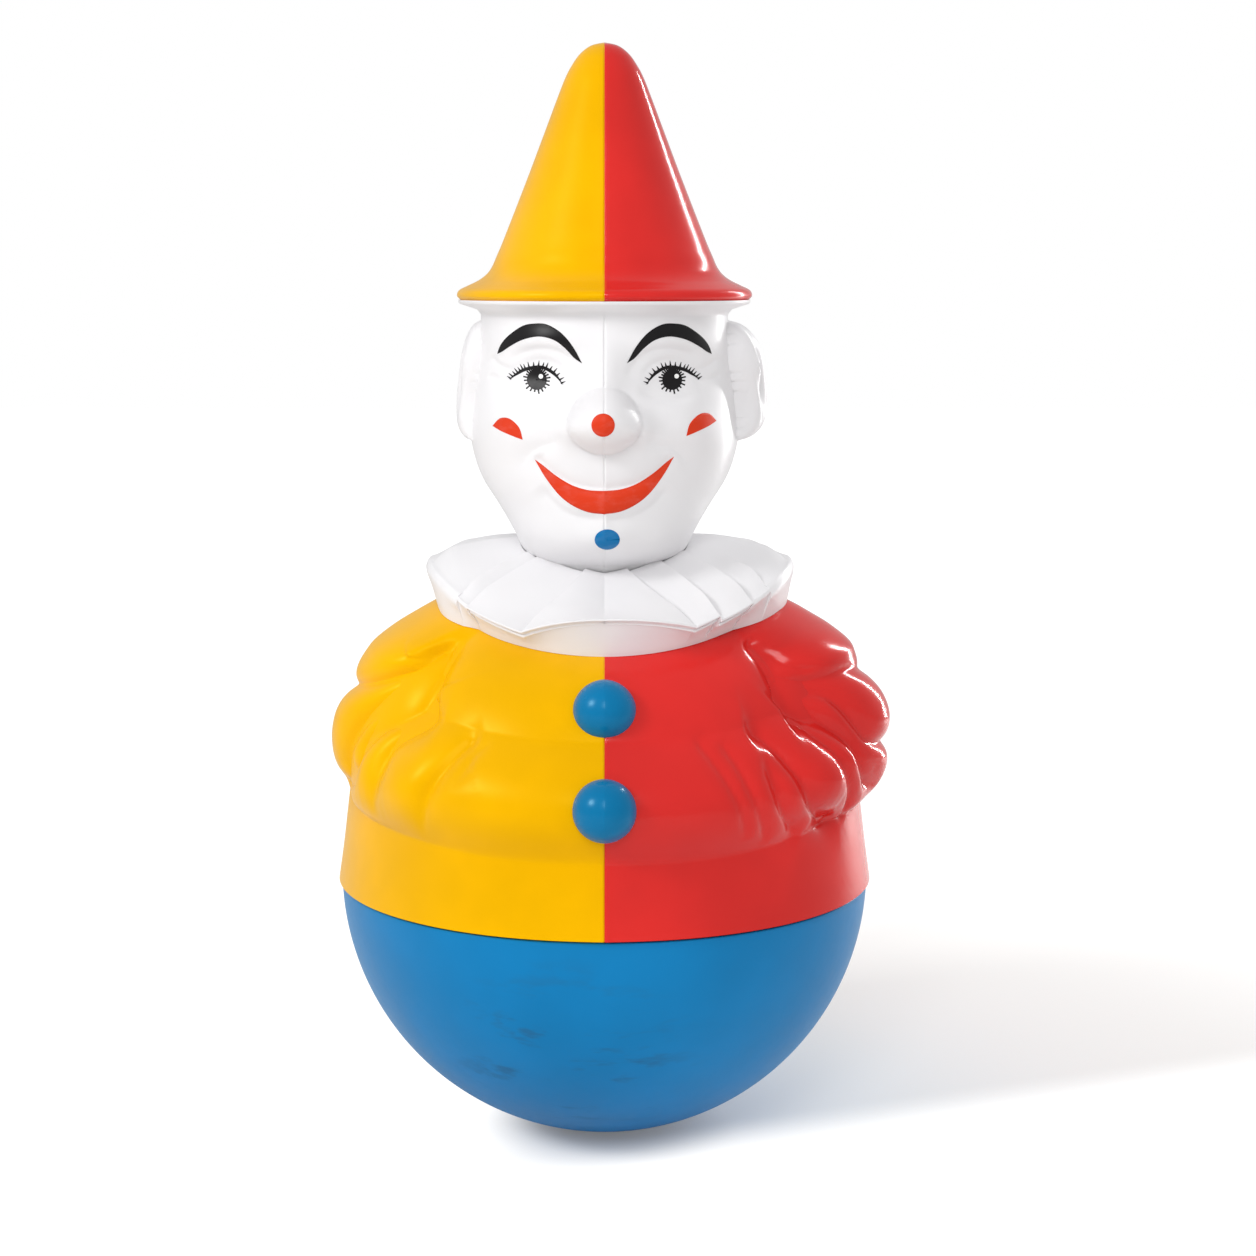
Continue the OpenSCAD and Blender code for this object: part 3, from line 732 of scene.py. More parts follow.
YELLOW = MouldedPlastic("yellow_plastic", (243, 181, 0), (250, 200, 60), 0.32, sheen=(1.0, 0.75, 0.08))
RED = MouldedPlastic("red_plastic", (222, 38, 34), (230, 80, 70), 0.17)
WHITE = MouldedPlastic("white_plastic", (236, 235, 237), (215, 212, 210), 0.34, mottle=0.02)
BUTTON_BLUE = MouldedPlastic("button_plastic", (0, 118, 171), (60, 140, 200), 0.26, sheen=(0.5, 0.9, 1.0))
BASE_BLUE = MouldedPlastic(
    "base_plastic", (0, 125, 188), (34, 88, 128), 0.4, scuffs=0.6, sheen=(0.5, 0.9, 1.0)
)
NYLON = MouldedPlastic("ball_nylon", (222, 214, 196), (200, 190, 170), 0.45)
FACE_RED = Paint("face_red_paint", (216, 56, 20), 0.42, 0.04)
FACE_BLACK = Paint("face_black_paint", (22, 20, 22), 0.33, 0.0)
FACE_BLUE = Paint("face_blue_paint", (0, 112, 172), 0.33, 0.03)
FACE_WHITE = Paint("eye_glint_paint", (246, 246, 246), 0.3, 0.0)
PLATED = Metal("plated_steel", (190, 192, 196), 0.32)
DRAWN_ROD = Metal("drawn_rod_steel", (205, 206, 210), 0.24)
CAST = Metal("cast_iron_skin", (70, 71, 74), 0.62, 0.6, 1.0)
# The two coloured halves: side, finish and material slot
COLOURS = ((Side.RIGHT, YELLOW, "yellow_shell"), (Side.LEFT, RED, "red_shell"))


@dataclass
class Wardrobe:
    """Makes each finish's material once and dresses pieces with it.

    Args:
        made: the materials made so far, by name.
    """

    made: dict[str, bpy.types.Material] = field(default_factory=dict)

    def dress(self, piece: bpy.types.Object, finish: MouldedPlastic | Paint | Metal) -> None:
        """Puts a finish on a piece as its only material.

        Args:
            piece: the piece.
            finish: the finish.
        """
        if finish.name not in self.made:
            self.made[finish.name] = finish.make()
        piece.data.materials.clear()
        piece.data.materials.append(self.made[finish.name])


WARDROBE = Wardrobe()


def settle(
    piece: bpy.types.Object,
    finish: MouldedPlastic | Paint | Metal,
    nodes: Sequence[str] = (),
) -> None:
    """Dresses a piece, ties it to the toy's body and hides the CAD nodes that it stands for.

    Args:
        piece: the piece.
        finish: its finish.
        nodes: the CAD nodes that it replaces.
    """
    WARDROBE.dress(piece, finish)
    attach(piece, TOY_BODY)
    if nodes:
        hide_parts(*nodes)
    LOG.info("%s: %d faces", piece.name, len(piece.data.polygons))


@dataclass
class RoundBase:
    """The blue half ball with its flat, its rim, the ring that plugs into the body and the screw's post."""

    r: float = 61.7
    wall: float = 2.4
    flat_d: float = 16.0
    ring_h: float = 6.0
    ring_wall: float = 2.0
    ring_r: float = 58.4
    post_d: float = 12.0
    post_z: float = 17.88
    bore_d: float = 4.1
    rim_round: float = 0.4
    rim_drop: float = 1.1
    joint: float = 0.45
    steps: int = 256
    outer_points: int = 90
    rim_points: int = 6
    inner_points: int = 60

    @property
    def ball_z(self) -> float:
        """Height of the ball's widest circle above the flat."""
        return math.sqrt(self.r**2 - (self.flat_d / 2) ** 2)

    @property
    def rim_z(self) -> float:
        """Height of the rim, a little below the ball's widest circle."""
        return self.ball_z - self.rim_drop

    def profile(self) -> np.ndarray:
        """Outline of the bowl: the flat, the ball's arc, the rounded rim, the ring, the inner arc, the post.

        Returns:
            Points of radius and height, closed.
        """
        start = math.asin(self.flat_d / 2 / self.r)
        stop = math.acos((self.rim_drop + self.joint + self.rim_round) / self.r)
        arc = np.linspace(start, stop, self.outer_points)
        outer = np.stack([self.r * np.sin(arc), self.ball_z - self.r * np.cos(arc)], axis=-1)
        bend = np.linspace(0, math.pi / 2, self.rim_points)[1:]
        edge = outer[-1] + self.rim_round * np.stack([np.cos(bend) - 1, np.sin(bend)], axis=-1)
        ring_in = self.ring_r - self.ring_wall
        ring = np.array(
            [
                [self.ring_r, self.rim_z - self.joint],
                [self.ring_r, self.rim_z + self.ring_h],
                [ring_in, self.rim_z + self.ring_h],
            ]
        )
        inner_r, post_r, bore_r = self.r - self.wall, self.post_d / 2, self.bore_d / 2
        ends = math.asin(ring_in / inner_r), math.asin(post_r / inner_r)
        inside = np.linspace(*ends, self.inner_points)
        inner = np.stack([inner_r * np.sin(inside), self.ball_z - inner_r * np.cos(inside)], axis=-1)
        post = np.array([[post_r, self.post_z], [bore_r, self.post_z], [bore_r, self.wall], [0.0, self.wall]])
        return np.concatenate([[[0.0, 0.0]], outer, edge, ring, inner, post])

    def build(self) -> None:
        """Builds and dresses the bowl."""
        piece = turned("round_base", self.profile(), self.steps, lambda p: p)
        settle(piece, BASE_BLUE, ["base_bowl"])


@dataclass
class Torso:
    """The yellow and red half shells with their folded arms."""

    base: RoundBase
    foot_step: float = 0.7
    h: float = 71.5
    wall: float = 2.2
    chest_drop: float = 9.2
    back_drop: float = 5.0
    neck_hole_r: float = 21.5
    arm_rise: float = 11.0
    sleeve_half_w: float = 21.0
    arm_skew: float = 0.2
    arm_steps: int = 6
    lining_arm: float = 0.6
    lip_from: float = 0.6
    slope_share: float = 0.02
    sharp_deg: float = 75.0
    rows: int = 180
    steps: int = 244

    PROFILE = Table(
        (
            (0, 1), (0.12, 0.98), (0.24, 0.963), (0.36, 0.945), (0.5, 0.912), (0.64, 0.862),
            (0.75, 0.796), (0.84, 0.712), (0.91, 0.608), (0.96, 0.48), (1, 0.344),
        )
    )  # fmt: skip
    # The arm's middle line: shares of half a turn and of the height, then its width, rise and edge's power
    ARM = (
        (0.4, 0.9, 1.14, 0.86, 0.7), (0.405, 0.74, 1.16, 0.84, 0.7), (0.42, 0.61, 1.06, 0.88, 0.7),
        (0.42, 0.54, 0.86, 0.72, 0.7), (0.34, 0.48, 0.68, 0.62, 0.75), (0.25, 0.47, 0.67, 0.52, 1.1),
        (0.12, 0.46, 0.69, 0.46, 1.4), (0.0, 0.46, 0.69, 0.44, 1.5),
    )  # fmt: skip
    ARM_FADE = Table(((0, 1), (0.78, 1), (0.84, 0.75), (0.88, 0.45), (0.915, 0.25), (0.96, 0), (1, 0)))
    # Folds of the sleeves: points of turn in degrees and height above the base's rim
    FOLDS = {
        Side.RIGHT: (
            Crease(((56, 60), (52.5, 55.7), (51.8, 51.6), (52.2, 48.5), (50, 45.5)), 3.2, 4.0, 4.0, 0.2),
            Crease(
                ((56, 58), (55, 55), (57, 52), (61, 50.8), (69, 48.3), (80, 46.5), (104, 44)),
                3.6, 2.8, 2.6, 0.15,
            ),
            Crease(((51, 48), (56, 47.7), (60, 46.2), (66, 40.5), (71, 33), (74, 24)), 3.6, 3.0, 3.0, 0.15),
            Crease(
                ((45, 45), (51, 44), (58, 41.4), (63, 36), (67, 28.5), (76, 24.5), (86, 24)),
                3.8, 3.0, 2.6, 0.15,
            ),
            Crease(
                ((41, 43.2), (45, 42.6), (48, 41.6), (53, 37), (54.7, 30), (55.5, 19)),
                3.8, 3.0, 3.6, 0.3,
            ),
            Crease(((29, 41), (32, 39.4), (35, 35.2), (38, 28.7), (40.5, 18)), 2.4, 2.2, 2.8, 0.3),
            Crease(((26, 41), (28.6, 38.5), (30.1, 35.8), (32.5, 30)), 0.9, 1.5, 1.2, 0.35),
            Crease(((80, 50), (92, 44), (99, 36), (101, 26)), 1.8, 4.5, 2.2),
            Bump((62, 60), 11, 8, 1.2),
            Bump((44, 29), 8, 8, 1.2),
        ),
        Side.LEFT: (
            Crease(((51, 60), (52, 55.4), (51.7, 51), (51, 47.5), (48.5, 44)), 3.8, 5.0, 3.0, 0.15),
            Crease(((54.5, 59), (54, 56), (55.5, 53.8), (58.5, 52.8), (62, 53.4)), 1.0, 1.6, 1.2, 0.3),
            Crease(
                ((51.5, 49), (56, 49.6), (61, 50.3), (70, 51.5), (82, 50), (106, 47)),
                3.6, 4.5, 3.0, 0.15,
            ),
            Crease(
                ((54, 47.6), (58.5, 47.5), (61.5, 45.8), (65.7, 39.3), (69, 35.8), (76, 34), (94, 32)),
                3.2, 3.0, 2.2, 0.15,
            ),
            Crease(
                ((51, 45.3), (54, 44.6), (58.4, 40.6), (62.4, 35.8), (65, 30), (69, 26), (76, 24)),
                3.2, 2.6, 2.0, 0.2,
            ),
            Crease(
                ((47, 43.4), (51, 41.1), (55, 36.4), (57, 32.5), (61, 25.4), (64, 18)),
                3.4, 2.6, 2.8, 0.15,
            ),
            Crease(
                ((34, 41.5), (38.5, 39.8), (42, 34), (45.5, 27), (49, 23), (54.5, 20.2), (61, 20.5)),
                3.4, 4.0, 2.4, 0.15,
            ),
            Crease(((35.5, 38), (36.3, 31), (38, 26), (41.3, 22), (46, 18)), 2.4, 2.6, 2.0, 0.2),
            Crease(((26.5, 41), (28.5, 36.5), (30.3, 30), (33, 23.5), (35.5, 18)), 1.3, 2.0, 1.2, 0.2),
            Crease(((21, 42), (24, 36), (27, 28.3), (30, 19.5)), 1.1, 1.8, 1.0, 0.2),
            Crease(((80, 50), (92, 44), (99, 36), (101, 26)), 1.8, 4.5, 2.2),
            Bump((62, 60), 11, 8, 1.2),
            Bump((84, 60), 18, 8, 1.2),
            Bump((86, 66), 20, 5, 2.2),
            Bump((50, 31), 7, 7, 1.6),
        ),
    }  # fmt: skip

    @property
    def foot_r(self) -> float:
        """Radius of the body's foot, which stands out over the base."""
        return self.base.r + self.foot_step

    def top_z(self, turn: np.ndarray) -> np.ndarray:
        """Height of the neck hole's edge, lower at the chest and at the back."""
        drop = self.chest_drop * front_share(turn) + self.back_drop * back_share(turn)
        return self.base.rim_z + self.h - drop

    def z(self, u: np.ndarray, turn: np.ndarray) -> np.ndarray:
        """Height of row u, a share of the way from the rim to the neck hole."""
        return mix(self.base.rim_z, self.top_z(turn), u)

    def torso_r(self, u: np.ndarray) -> np.ndarray:
        """Radius of the body without arms."""
        bent = self.PROFILE(u) - mix(1.0, self.PROFILE.points[-1][1], u)
        return mix(self.foot_r, self.neck_hole_r, u) + self.foot_r * bent

    def arm(self, u: np.ndarray, turn: np.ndarray) -> np.ndarray:
        """Rise of the arm: a rounded ridge along a line from the shoulder over the elbow to the front.

        Args:
            u: rows, as shares of the height.
            turn: turns.

        Returns:
            The rise at each row and turn.
        """
        p = self.foot_r * turn + 0 * u
        q = self.h * u + 0 * turn
        best = np.zeros(p.shape)
        unit = np.array([self.foot_r * math.pi, self.h, 1, 1, 1])
        spots = smooth_path(np.array(self.ARM), self.arm_steps) * unit
        for a, b in zip(spots[:-1], spots[1:]):
            run = (b - a)[:2]
            s = np.clip(((p - a[0]) * run[0] + (q - a[1]) * run[1]) / (run @ run), 0, 1)
            at_p, at_q, width, rise, power = (mix(start, stop, s) for start, stop in zip(a, b))
            away = np.hypot(p - at_p, q - at_q) / (self.sleeve_half_w * width)
            best = np.maximum(best, self.arm_rise * rise * np.clip(1 - away * away, 0, None) ** power)
        return best * self.ARM_FADE(u)

    def folds(self, u: np.ndarray, turn: np.ndarray, side: Side) -> np.ndarray:
        """Relief of the sleeve's folds, on a map of arc length and height.

        Args:
            u: rows, as shares of the height.
            turn: turns.
            side: the side, which has its own folds.

        Returns:
            The relief at each row and turn.
        """
        p = np.broadcast_to(np.degrees(turn) + 0 * u, np.broadcast_shapes(u.shape, turn.shape))
        q = self.z(u, turn) - self.base.rim_z
        arc = math.radians(1) * self.foot_r
        return total_relief([fold.stretched(arc) for fold in self.FOLDS[side]], p * arc, q)

    def skin_r(self, u: np.ndarray, turn: np.ndarray, side: Side) -> np.ndarray:
        """Radius of the outer skin; the left arm stands out a little more than the right one."""
        skew = 1 + side.value * self.arm_skew * np.sin(turn)
        return self.torso_r(u) + self.arm(u, turn) * skew + self.folds(u, turn, side)

    def surface(self, u: np.ndarray, turn: np.ndarray, side: Side) -> Net:
        """The outer skin's points."""
        r = self.skin_r(u, turn, side)
        return polar(r + SEAM.relief(r, turn), turn, self.z(u, turn))

    def lining(self, u: np.ndarray, turn: np.ndarray) -> Net:
        """The inner wall: the body set in by the wall, with a shallower arm and a lower top edge."""
        r = self.torso_r(u) - self.wall + self.lining_arm * self.arm(u, turn)
        lip = np.clip((u - self.lip_from) / (1 - self.lip_from), 0, 1)
        return polar(r, turn, self.z(u, turn) - self.wall * lip)

    def front_point(self, share: float) -> tuple[np.ndarray, np.ndarray]:
        """A point of the chest on the seam and the direction straight out of it.

        Args:
            share: the share of the chest's height.

        Returns:
            The point and the outward direction.
        """
        u = share + self.slope_share * np.array([[-1.0], [0.0], [1.0]])
        seam = np.zeros((1, 1))
        low, at, high = polar(self.torso_r(u) + self.arm(u, seam), seam, self.z(u, seam))[:, 0]
        run = high - low
        out = np.array([0.0, -run[2], run[1]])
        out *= -1 if out[1] > 0 else 1
        return at, out / np.linalg.norm(out)

    def build(self) -> None:
        """Builds and dresses both halves."""
        u = np.linspace(0, 1, self.rows + 1)[:, None]
        turn = SEAM.turns(self.base.r, self.steps)
        inner = self.lining(u, turn)
        for side, finish, slot in COLOURS:
            outer = self.surface(u, turn, side)
            piece = shell(f"{side.word}_body_shell", outer, inner, side, self.sharp_deg)
            settle(piece, finish, [f"body_{side.word}_half"])


@dataclass(frozen=True)
class Pleat:
    """One panel of the frill.

    Args:
        stop_deg: the turn at which it ends.
        edge: heights of its outer edge above the hem, at its near end, middle and far end.
        reach: how far its outer edge stands out, at its near and far end.
        drape: 0 for a flat panel with a free edge, 1 for one that lies down over the shoulder.
        neck_deg: the turn at which it ends at the neck, or 0 for the same turn.
    """

    stop_deg: float
    edge: tuple[float, float, float]
    reach: Point = (0.0, 0.0)
    drape: float = 1.0
    neck_deg: float = 0.0


@dataclass
class Collar:
    """The white pleated frill, in two halves that sit on the shoulders."""

    torso: Torso
    head: "Head"
    r: float = 42.6
    wall: float = 1.0
    gap: float = 0.1
    pleat_step: float = 2.6
    groove: float = 1.0
    groove_w: float = 0.6
    skew: float = 0.03
    pleat_steps: int = 20
    row_steps: int = 7
    hem_share: float = 0.915
    hem_inner_share: float = 0.945
    front_r_share: float = 0.96
    rise_share: float = 0.24
    fall_share: float = 0.31
    hem_lift: float = 0.15
    band_out: Point = (0.3, 0.55)
    band_up: float = 0.4
    swell: float = 2.0
    edge_angle: float = 0.03
    seam_turn: float = 0.1
    sharp_deg: float = 35.0

    PLEATS = {
        Side.RIGHT: (
            Pleat(26, (9.0, 8.0, 4.6), (0.0, 1.0), 0.0, 13), Pleat(48, (4.6, 5.4, 6.2), (1.0, 0.5), 0.0, 47),
            Pleat(54, (6.4, 6.8, 7.2), (0.3, 0.0), 0.4, 56), Pleat(82, (7.8, 9.2, 9.8)),
            Pleat(108, (9.6, 9.8, 9.8)), Pleat(134, (9.0, 9.0, 8.8)), Pleat(158, (8.4, 8.2, 8.2)),
            Pleat(180, (8.0, 8.0, 8.0)),
        ),
        Side.LEFT: (
            Pleat(28, (9.0, 8.4, 5.6), (0.0, 1.0), 0.0, 15), Pleat(36, (5.6, 6.2, 6.8), (1.2, 1.0), 0.0, 39),
            Pleat(49, (5.8, 6.5, 7.2), (1.6, 1.0), 0.0, 58), Pleat(60, (6.8, 7.4, 8.0), (0.2, 0.0), 0.4, 74),
            Pleat(84, (8.4, 9.4, 9.8), neck_deg=92), Pleat(108, (9.6, 9.8, 9.8)), Pleat(134, (9.0, 9.0, 8.8)),
            Pleat(158, (8.4, 8.2, 8.2)), Pleat(180, (8.0, 8.0, 8.0)),
        ),
    }  # fmt: skip
    # Rows of the outer edge: how far in and below the edge they lie on a flat panel, then on a draped one
    LIP = ((0.7, 0.75, 0.0, 2.8), (0.0, 0.5, 0.1, 1.6), (0.05, 0.05, 0.7, 0.5), (0.5, -0.05, 2.0, 0.0))
    # Rows of the frill: how far across it, and their share of a pleat's step
    FRILL = ((0.25, 0.9), (0.45, 0.9), (0.7, 0.75), (1.0, 0.3))

    def pleats(self, side: Side) -> dict[str, np.ndarray]:
        """Turns that crowd beside each pleat's edges, with what each pleat says there.

        Args:
            side: the side.

        Returns:
            Rows of turns at the edge and at the neck, of shares and lengths across the pleat, of the edge's
            heights and reaches, and of drapes.
        """
        share = (1 - np.cos(np.linspace(self.edge_angle, math.pi - self.edge_angle, self.pleat_steps))) / 2
        keys = ("turn", "neck", "across", "arc", "edge", "reach", "drape")
        parts: dict[str, list[np.ndarray]] = {key: [] for key in keys}
        start, neck_start = 0.0, 0.0
        for pleat in self.PLEATS[side]:
            near, middle, far = pleat.edge
            sag = 4 * share * (1 - share) * (middle - (near + far) / 2)
            neck_stop = pleat.neck_deg or pleat.stop_deg
            parts["turn"].append(np.radians(mix(start, pleat.stop_deg, share)))
            parts["neck"].append(np.radians(mix(neck_start, neck_stop, share)))
            parts["across"].append(share)
            parts["arc"].append(share * math.radians(pleat.stop_deg - start) * self.r)
            parts["edge"].append(mix(near, far, share) + sag)
            parts["reach"].append(mix(*pleat.reach, share))
            parts["drape"].append(np.full(share.shape, pleat.drape))
            start, neck_start = pleat.stop_deg, neck_stop
        rows = {}
        for key, part in parts.items():
            rows[key] = np.concatenate([part[0][:1], *part, part[-1][-1:]])[None, :]
        for key in ("turn", "neck"):
            rows[key][0, 0], rows[key][0, -1] = 0.0, math.pi
        return rows

    def section(self, skin: float, side: Side) -> Net:
        """Control rows of the outer skin, or of the inner one at a depth.

        Args:
            skin: 0, or the wall's depth.
            side: the side it is for; the left one stands out a little more.

        Returns:
            Points by row and turn.
        """
        row = self.pleats(side)
        turn, neck, drape = row["turn"], row["neck"], row["drape"]
        share = np.array([[self.hem_inner_share if skin else self.hem_share]])
        torso = self.torso
        hem_r = torso.skin_r(share, turn, side)
        hem_z = torso.z(share, turn) + self.hem_lift
        ends = front_share(turn) + back_share(turn)
        rim_r = self.r * (mix(1.0, self.front_r_share, ends) + side.value * self.skew * np.sin(turn))
        rim_r = rim_r + row["reach"] - skin
        rim_z = torso.z(np.array([[self.hem_share]]), turn) + row["edge"] - skin
        fall = front_share(neck) + self.rise_share * back_share(neck)
        rise = self.head.neck_l * (self.rise_share - self.fall_share * fall) - skin
        jaw_r = self.head.skull_r(np.clip(rise / self.head.h, 0, None), neck)
        hole_r = np.maximum(self.head.neck_r, jaw_r) + self.gap
        groove = self.groove * np.exp(-((row["arc"] / self.groove_w) ** 2)) * (turn > self.seam_turn)
        step = (0 if skin else 1) * (self.pleat_step * (row["across"] - 0.5) - groove)
        band_r = mix(hem_r, rim_r, mix(*self.band_out, drape))
        rows = [polar(hem_r, turn, hem_z), polar(band_r, turn, mix(hem_z, rim_z, self.band_up))]
        for flat_in, flat_low, draped_in, draped_low in self.LIP:
            r = rim_r - mix(flat_in, draped_in, drape)
            rows.append(polar(r, turn, rim_z - mix(flat_low, draped_low, drape)))
        for s, lift in self.FRILL:
            z = mix(rim_z, self.head.jaw_z + rise, s) + lift * step
            z = z + self.swell * s * (1 - s) * drape
            rows.append(polar(mix(rim_r, hole_r, s), mix(turn, neck, s), z))
        return np.stack([points[0] for points in rows])

    def build(self) -> None:
        """Builds and dresses both halves."""
        for side in Side:
            outer = smooth_path(self.section(0.0, side), self.row_steps)
            inner = smooth_path(self.section(self.wall, side), self.row_steps)
            piece = shell(f"{side.word}_collar_shell", outer, inner, side, self.sharp_deg)
            settle(piece, WHITE, [f"collar_{side.word}_half"])


@dataclass
class Head:
    """The white head with its features, in two halves."""

    jaw_z: float
    h: float = 59.0
    r: float = 30.8
    wall: float = 2.0
    neck_r: float = 18.0
    neck_l: float = 19.0
    nose_half_w: float = 6.8
    nose_rise: float = 8.0
    nose_spread: float = 1.12
    nose_power: float = 1.5
    ear_half_h: float = 13.5
    ear_rise: float = 6.0
    ear_skew: float = 0.3
    brim_r: float = 33.4
    hat_ring_r: float = 24.0
    hat_ring_h: float = 5.5
    rim_round: float = 0.35
    flare_gap: float = 0.3
    flare_fall: float = 1.6
    ring_lift: float = 0.2
    sharp_deg: float = 60.0
    rows: int = 170
    steps: int = 200

    JAW_RISE = 3.5
    NECK_TOP = 0.12
    FLARE = 0.943
    EDGE = 0.985
    NOSE_AT = 0.561
    NOSE_H = 0.95
    EAR_AT = (0.5, 0.689)
    EAR_HALF_TURN = 0.07
    # The ear, in its own half widths and heights: its edge's sway, how boxy it is, its hollow and curl
    EAR_SWAY = (0.12, 4.0)
    EAR_POWERS = (2.5, 3.0)
    EAR_HOLLOW = Bump((-0.3, 0.05), 0.3, 0.55, 0.45)
    EAR_CURL = Bump((-0.45, 0.15), 0.14, 0.35, 0.22)
    CURL_LEAN = 0.2
    FACE_FADE = 2.5
    # The rim's foot: steps out and up from the flare's edge
    RIM_FOOT = ((0.35, 0.5), (1.0, 1.2))
    # The inside under the hat's seat: radius, and height from the rim's edge
    UNDER_SEAT = ((25.0, -1.2), (24.5, -0.8), (24.0, -0.5), (23.0, -0.2))
    # Finding a place on the face: rounds, the share of each step, and the largest sines at first and later
    FIT_ROUNDS = 25
    FIT_STEP = 0.6
    FIT_LIMITS = (0.95, 0.98)
    SIDE = Table(
        (
            (0, 0.594), (0.042, 0.61), (0.092, 0.638), (0.143, 0.69), (0.227, 0.8), (0.303, 0.9),
            (0.378, 0.961), (0.479, 1), (0.613, 0.98), (0.748, 0.948), (0.866, 0.925), (0.955, 0.916),
        )
    )  # fmt: skip
    FRONT = Table(
        (
            (0, 0.62), (0.042, 0.79), (0.092, 0.9), (0.143, 0.955), (0.227, 0.985), (0.303, 1.003),
            (0.378, 1.013), (0.479, 1.013), (0.613, 0.98), (0.748, 0.942), (0.866, 0.925), (0.955, 0.916),
        )
    )  # fmt: skip
    BACK = Table(
        (
            (0, 0.584), (0.042, 0.587), (0.092, 0.597), (0.143, 0.623), (0.227, 0.724), (0.303, 0.844),
            (0.378, 0.942), (0.479, 1.013), (0.613, 1.04), (0.748, 1.02), (0.866, 0.974), (0.955, 0.93),
        )
    )  # fmt: skip
    # The face's relief, by the distance from the seam and the height above the jaw
    FEATURES = (
        Bump((14.6, 42.3), 7.0, 4.8, -1.7),
        Bump((13.5, 50.3), 8.5, 2.8, 0.8),
        Bump((0.0, 42.4), 4.0, 7.0, 1.6),
        Bump((19.0, 31.1), 6.5, 6.0, 1.5),
        Bump((7.2, 31.5), 3.0, 3.4, 2.0),
        Bump((0.0, 33.1), 8.5, 7.0, 1.3),
        Bump((0.0, 15.3), 9.0, 3.2, 0.9),
        Bump((0.0, 7.3), 6.0, 4.0, 1.1),
        Crease(((8.0, 30.9), (11.0, 28.5), (15.2, 26.8), (17.8, 24.2), (19.5, 20.8)), 0.9, 2.6, 1.6, 0.4),
        Crease(((-1.0, 18.2), (6.0, 19.1), (11.5, 21.7), (15.5, 25.4)), 0.9, 1.5, 0.9, 0.12),
        Crease(((-1.0, 11.4), (6.0, 12.0), (11.0, 14.6), (14.5, 18.8)), 0.9, 1.2, 2.2, 0.2),
        Crease(((4.5, 42.4), (7.5, 46.4), (12.0, 48.5), (17.5, 48.1), (22.5, 45.3)), 0.8, 0.9, 1.5, 0.25),
        Crease(((8.0, 42.5), (11.0, 45.2), (15.0, 46.1), (20.0, 44.5), (24.0, 41.5)), 0.5, 0.8, 1.0, 0.25),
        Crease(((7.0, 40.4), (11.0, 38.2), (16.0, 37.4), (21.5, 39.0)), 0.6, 1.6, 0.9, 0.3),
        Crease(((20.5, 43.4), (24.0, 44.9), (26.0, 46.8)), 0.5, 0.7, 0.9, 0.3),
        Crease(((20.5, 41.9), (24.0, 41.7), (26.5, 42.5)), 0.5, 0.7, 0.9, 0.3),
    )

    @property
    def hat_seat_z(self) -> float:
        """Height of the seat that the hat rests on."""
        return self.jaw_z + self.h

    def skull_r(self, w: np.ndarray, turn: np.ndarray) -> np.ndarray:
        """Radius of the head without features: the side's outline, drawn towards the front's and the back's.

        Args:
            w: rows, as shares of the head's height.
            turn: turns.

        Returns:
            The radius at each row and turn.
        """
        side = self.SIDE(w)
        ahead, behind = self.FRONT(w) - side, self.BACK(w) - side
        return self.r * (side + ahead * front_share(turn) + behind * back_share(turn))

    def features(self, w: np.ndarray, turn: np.ndarray, side: Side = Side.LEFT) -> np.ndarray:
        """Relief of the nose, a soft dome, of the ears, boxy arches with a hollow, and of the face.

        Args:
            w: rows, as shares of the head's height.
            turn: turns.
            side: the side; the left ear stands out more than the right one.

        Returns:
            The relief at each row and turn.
        """
        across = self.r * turn / self.nose_half_w
        up = self.h * (w - self.NOSE_AT) / (self.NOSE_H * self.nose_half_w)
        nose = self.nose_rise * dome(across / self.nose_spread, up / self.nose_spread) ** self.nose_power
        sway, sway_rate = self.EAR_SWAY
        ear_up = self.h * (w - self.EAR_AT[1]) / self.ear_half_h
        ear_turn = (turn / math.pi - self.EAR_AT[0]) / self.EAR_HALF_TURN + sway * np.sin(sway_rate * ear_up)
        arched = arch(ear_turn, self.EAR_POWERS[0]) * arch(ear_up, self.EAR_POWERS[1])
        curl = self.EAR_CURL.relief(ear_turn + self.CURL_LEAN * ear_up, ear_up)
        hollow = self.EAR_HOLLOW.relief(ear_turn, ear_up) - curl
        rise = self.ear_rise * (1 + side.value * self.ear_skew)
        ear = np.where(arched > 0, rise * (arched - hollow), 0)
        x = np.broadcast_to(self.skull_r(w, turn) * np.sin(turn), ear.shape)
        ahead = np.clip(np.cos(turn) * self.FACE_FADE, 0, 1)
        return nose + ear + total_relief(self.FEATURES, x, self.h * w + 0 * turn) * ahead

    def skin(self, w: np.ndarray, turn: np.ndarray, side: Side) -> Net:
        """The outer skin of the face and skull."""
        r = self.skull_r(w, turn) + self.features(w, turn, side)
        return polar(r + SEAM.relief(r, turn), turn, self.jaw_z + self.h * w)

    def on_face(self, x: np.ndarray, z: np.ndarray, lift: float) -> Net:
        """Points that lie at x and z as seen from the front, lifted off the skin.

        Args:
            x: distances from the seam.
            z: heights above the flat.
            lift: how far off the skin they lie.

        Returns:
            The points.
        """
        w = (z - self.jaw_z) / self.h
        first_limit, limit = self.FIT_LIMITS
        turn = np.arcsin(np.clip(np.abs(x) / self.r, 0, first_limit))
        for _ in range(self.FIT_ROUNDS):
            r = self.skull_r(w, turn) + self.features(w, turn)
            turn = mix(turn, np.arcsin(np.clip(np.abs(x) / r, 0, limit)), self.FIT_STEP)
        r = self.skull_r(w, turn) + self.features(w, turn)
        r = r + SEAM.keel * np.exp(-r * turn / SEAM.keel_w)
        spot = polar(r + lift, turn, z)
        return spot * np.stack([np.where(x < 0, -1.0, 1.0), np.ones(x.shape), np.ones(x.shape)], axis=-1)

